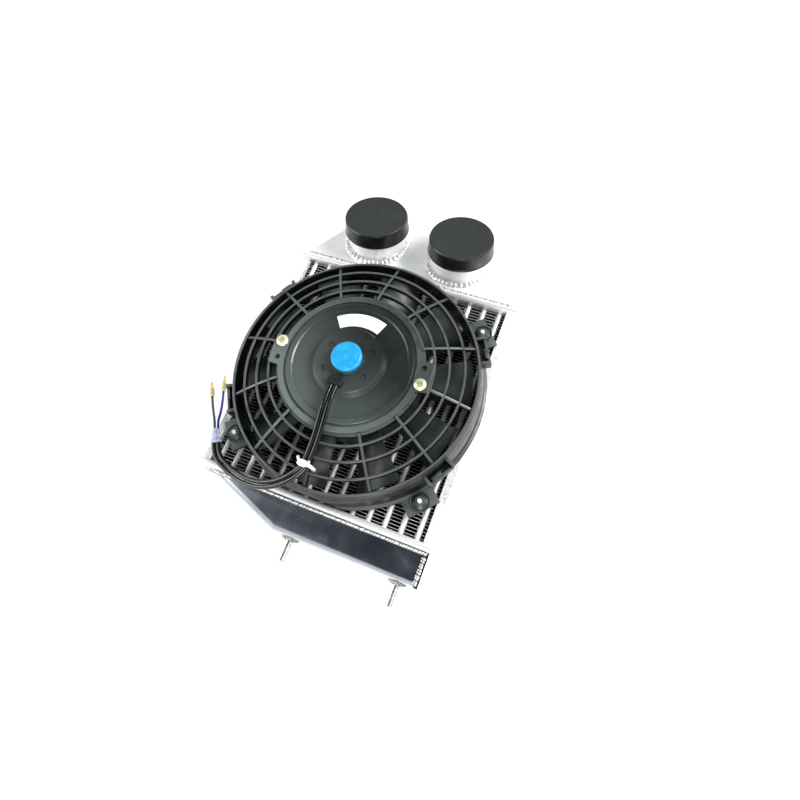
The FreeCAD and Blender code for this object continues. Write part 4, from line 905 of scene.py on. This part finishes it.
LEAD_ROUTE = [
    (-1.3, -22.0, 52.3),
    (-1.3, -32.0, 52.3),
    (-0.2, -45.0, 50.6),
    (0.8, -58.0, 47.9),
    (0.4, -70.0, 43.9),
    (-1.4, -82.0, 38.9),
    (-9.5, -92.0, 34.5),
    (-20.5, -99.5, 28.5),
    (-34.0, -103.8, 21.5),
    (-48.0, -104.4, 14.8),
    (-60.0, -103.0, 9.6),
    (-70.5, -100.0, 8.1),
    (-79.5, -96.4, 7.2),
    (-86.0, -91.0, 6.5),
    (-89.3, -85.0, 6.1),
]
BLACK_ROUTE = [
    (-104.5, -64.0, 2.4),
    (-111.5, -57.0, -1.6),
    (-119.0, -48.8, -6.8),
]
BLUE_ROUTE = [
    (-100.0, -60.2, 2.2),
    (-105.2, -51.2, -2.0),
    (-111.8, -41.6, -7.0),
]
SLEEVE_DIAMETER, SLEEVE_HALF_SPACING = 3.5, 1.9
WIRE_DIAMETER, WIRE_HALF_SPACING, WIRE_LEAD_OUT = 2.0, 1.4, 7.0
COLLAR_RADIUS, COLLAR_LENGTH = 4.0, 12.0
CRIMP_RADIUS, CRIMP_LENGTH, TERMINAL_LENGTH, PIN_RADIUS = 2.2, 11.0, 20.0, 1.1


def beside(route, reach):
    """A route that runs level beside another one, at a distance to its left."""
    points = [Vector(point) for point in route]
    moved = []
    for index, point in enumerate(points):
        heading = points[min(index + 1, len(points) - 1)] - points[max(index - 1, 0)]
        across = Vector((-heading.y, heading.x, 0)).normalized()
        moved.append(point + across * reach)
    return moved


def cord(name, points, diameter, slot):
    """A round cord on one smooth curve."""
    curve = bpy.data.curves.new(name, "CURVE")
    curve.dimensions = "3D"
    curve.bevel_depth = diameter / 2000
    curve.bevel_resolution = 6
    curve.resolution_u = 16
    curve.use_fill_caps = True
    spline = curve.splines.new("NURBS")
    spline.points.add(len(points) - 1)
    for target, point in zip(spline.points, points):
        target.co = (*place(*point), 1)
    spline.order_u = 3
    spline.use_endpoint_u = True
    curve.materials.append(FINISHES[slot])
    made = bpy.data.objects.new(name, curve)
    bpy.context.scene.collection.objects.link(made)
    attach(made, "cooler")
    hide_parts(name)


def axis_matrix(foot, heading):
    """A frame with its origin at a foot and Z along a heading."""
    return Matrix.Translation(foot) @ heading.to_track_quat("Z", "Y").to_matrix().to_4x4()


def make_terminal(colour, foot, heading):
    """A clear sleeve over a crimp, with a round-nosed brass pin out of its end."""
    matrix = axis_matrix(foot, heading)
    node = "terminal_" + colour
    sleeve = Mesh()
    lathe(sleeve, rounded([
        (0.9, 0.1), (CRIMP_RADIUS * 0.72, 0.1), (CRIMP_RADIUS * 0.86, 1.4),
        (CRIMP_RADIUS * 0.98, 4.0), (CRIMP_RADIUS * 0.98, 8.6),
        (CRIMP_RADIUS * 0.86, CRIMP_LENGTH - 0.1), (0.9, CRIMP_LENGTH - 0.1),
    ], 0.5), 36, matrix)
    cover = sleeve.make("terminal_sleeve_" + colour, TERMINAL_SLEEVE, slot="terminal_brass",
                        replaces=[node])
    pin = Mesh()
    lathe(pin, [(0.0, CRIMP_LENGTH - 2), (1.0, CRIMP_LENGTH - 2), (PIN_RADIUS, CRIMP_LENGTH),
                (PIN_RADIUS, CRIMP_LENGTH + 4.4),
                (0.8, CRIMP_LENGTH + 4.8), (0.8, CRIMP_LENGTH + 5.4),
                (PIN_RADIUS, CRIMP_LENGTH + 5.8), (PIN_RADIUS, TERMINAL_LENGTH - 1.2),
                (0.6, TERMINAL_LENGTH - 0.25), (0.0, TERMINAL_LENGTH - 0.05)], 28, matrix)
    tip = pin.make("terminal_pin_" + colour, FINISHES["terminal_brass"], slot="terminal_brass")
    return cover, tip


def make_lead():
    """Both sleeves, the collar at their end, and the two wires with their terminals."""
    start = Vector(LEAD_ROUTE[-1])
    heading = (start - Vector(LEAD_ROUTE[-2])).normalized()
    end = start + heading * COLLAR_LENGTH
    collar = Mesh()
    lathe(collar, rounded([
        (0.4, 0.1), (COLLAR_RADIUS - 0.5, 0.1), (COLLAR_RADIUS - 0.05, 1.4),
        (COLLAR_RADIUS - 0.7, 4.6), (COLLAR_RADIUS - 0.9, 8.0),
        (COLLAR_RADIUS - 1.3, COLLAR_LENGTH - 0.1), (0.4, COLLAR_LENGTH - 0.1),
    ], 0.7), 48, axis_matrix(start, heading))
    collar_piece = collar.make("shrink_collar", FINISHES["collar_plastic"], slot="collar_plastic",
                               replaces=["lead_collar"])
    for label, side, length in (("sleeve_left", 1, 175.0), ("sleeve_right", -1, 165.6)):
        cord(label, beside(LEAD_ROUTE, side * SLEEVE_HALF_SPACING), SLEEVE_DIAMETER,
             "sleeve_plastic")
    across = Vector((-heading.y, heading.x, 0)).normalized() * WIRE_HALF_SPACING
    for colour, side, route, length in (("black", 1, BLACK_ROUTE, 37.3),
                                        ("blue", -1, BLUE_ROUTE, 39.3)):
        exit_point = end + across * side
        points = [exit_point, exit_point + heading * WIRE_LEAD_OUT] + [Vector(p) for p in route]
        run = (points[-1] - points[-2]).normalized()
        parts = make_terminal(colour, points[-1], run)
        cord("wire_" + colour, points, WIRE_DIAMETER, "wire_%s_plastic" % colour)


TIE_MIDDLE = -1.4


def make_cable_tie():
    """A strap round both sleeves and a grille spoke, its ratchet head, and its cut tails."""
    low, high = span("cable_tie")
    centre = (low + high) / 2
    strap_half = SLEEVE_HALF_SPACING + SLEEVE_DIAMETER / 2 + 1.4
    top = high.z - 4.0
    outline = rounded_box(strap_half, low.z + 0.6, top, 2.2, 5)
    line = [Vector((TIE_MIDDLE + u, centre.y, v)) for u, v in outline]
    mesh = Mesh()
    sweep(mesh, line, rounded_box(0.5, -1.25, 1.25, 0.3, 2), up=Vector((0, 1, 0)), closed=True)
    block(mesh, (5.0, 4.8, 3.6), shift(TIE_MIDDLE, centre.y, high.z - 2.0), 0.7)
    block(mesh, (2.4, 3.0, 0.8), shift(TIE_MIDDLE, centre.y, high.z - 0.35), 0.3)
    for side, rise in ((1, 2.6), (-1, 2.2)):
        tail = [Vector((TIE_MIDDLE + side * (1.6 + 3.4 * s), centre.y + side * -0.5 + 3.0 * s * s,
                        high.z - 3.2 + rise * (1 - (1 - s) ** 2)))
                for s in (0, 0.2, 0.4, 0.6, 0.8, 1)]
        sweep(mesh, tail, rounded_box(0.9, -0.4, 0.4, 0.25, 2))
    mesh.make("tie_strap", FINISHES["tie_plastic"], slot="tie_plastic", replaces=["cable_tie"])


# ---------------------------------------------------------------- floor, light and camera

FLOOR_REACH, FLOOR_DROP = 3.0, 0.0004


def make_stage():
    """A plain pale floor just under the part."""
    floor_mesh = bpy.data.meshes.new("floor")
    corners = [(x * FLOOR_REACH, y * FLOOR_REACH, 0)
               for x, y in ((-1, -1), (1, -1), (1, 1), (-1, 1))]
    floor_mesh.from_pydata(corners, [], [(0, 1, 2, 3)])
    floor = bpy.data.objects.new("floor", floor_mesh)
    floor_mesh.materials.append(Finish("floor_white", (0.93, 0.93, 0.935), 0.6).material)
    floor.location.z = -FLOOR_DROP
    bpy.context.scene.collection.objects.link(floor)


def make_world():
    """A bright surround that falls to a dark ceiling, which polished level faces reflect."""
    world = bpy.data.worlds.new("studio")
    world.use_nodes = True
    tree = world.node_tree
    backdrop = tree.nodes["Background"]
    coordinates = tree.nodes.new("ShaderNodeTexCoord")
    parts = tree.nodes.new("ShaderNodeSeparateXYZ")
    ramp = tree.nodes.new("ShaderNodeValToRGB")
    tree.links.new(coordinates.outputs["Generated"], parts.inputs["Vector"])
    tree.links.new(parts.outputs["Z"], ramp.inputs["Fac"])
    tree.links.new(ramp.outputs["Color"], backdrop.inputs["Color"])
    stops = ramp.color_ramp.elements
    stops[0].position, stops[0].color = 0.0, (1.0, 1.0, 1.0, 1)
    stops[1].position, stops[1].color = 0.94, (0.035, 0.042, 0.055, 1)
    middle = stops.new(0.78)
    middle.color = (0.8, 0.82, 0.84, 1)
    backdrop.inputs["Strength"].default_value = 0.9
    bpy.context.scene.world = world


def area_light(name, at, aim, size, power):
    """A soft round light at a point, facing another one."""
    light = bpy.data.lights.new(name, "AREA")
    light.shape = "DISK"
    light.size = size
    light.energy = power
    made = bpy.data.objects.new(name, light)
    made.location = at
    made.rotation_mode = "QUATERNION"
    made.rotation_quaternion = (Vector(aim) - Vector(at)).to_track_quat("-Z", "Y")
    bpy.context.scene.collection.objects.link(made)


def make_lights():
    aim = tuple(ORIGIN)
    area_light("key", (1.0, 0.55, 0.95), aim, 0.7, 22)
    area_light("fill", (-0.95, -0.3, 0.6), aim, 0.7, 7)
    area_light("front", (0.45, -1.1, 0.5), aim, 0.6, 8)


def make_camera():
    """Over the near tank's right end, looking down at the fan."""
    data = bpy.data.cameras.new("camera")
    data.sensor_width = 36
    data.lens = 24.4
    camera = bpy.data.objects.new("camera", data)
    camera.location = place(132.5, -122.3, 402.1)
    camera.rotation_mode = "QUATERNION"
    turn = Vector((2.765, 0.492, -0.252))
    world_to_lens = Quaternion(turn.normalized(), turn.length).to_matrix()
    right, down, ahead = world_to_lens
    camera.rotation_quaternion = Matrix((right, -down, -ahead)).transposed().to_quaternion()
    data.clip_start, data.clip_end = 0.01, 20
    bpy.context.scene.collection.objects.link(camera)
    bpy.context.scene.camera = camera


# ---------------------------------------------------------------- the whole object

SOFT_EDGE = 0.45

finish_cad_nodes()
for name in ("dust_cap", "lead_grommet", "motor_cover", "motor_screws"):
    soften(name, SOFT_EDGE)
make_shroud_wall()
make_grille()
make_shroud_lugs()
for side in ("left", "right"):
    make_cap(side)
    make_neck_weld(side)
    make_stud_weld(side)
make_near_seams()
make_far_seams()
make_lead()
make_cable_tie()
make_stage()
make_world()
make_lights()
make_camera()
bpy.context.scene.view_settings.view_transform = "Standard"
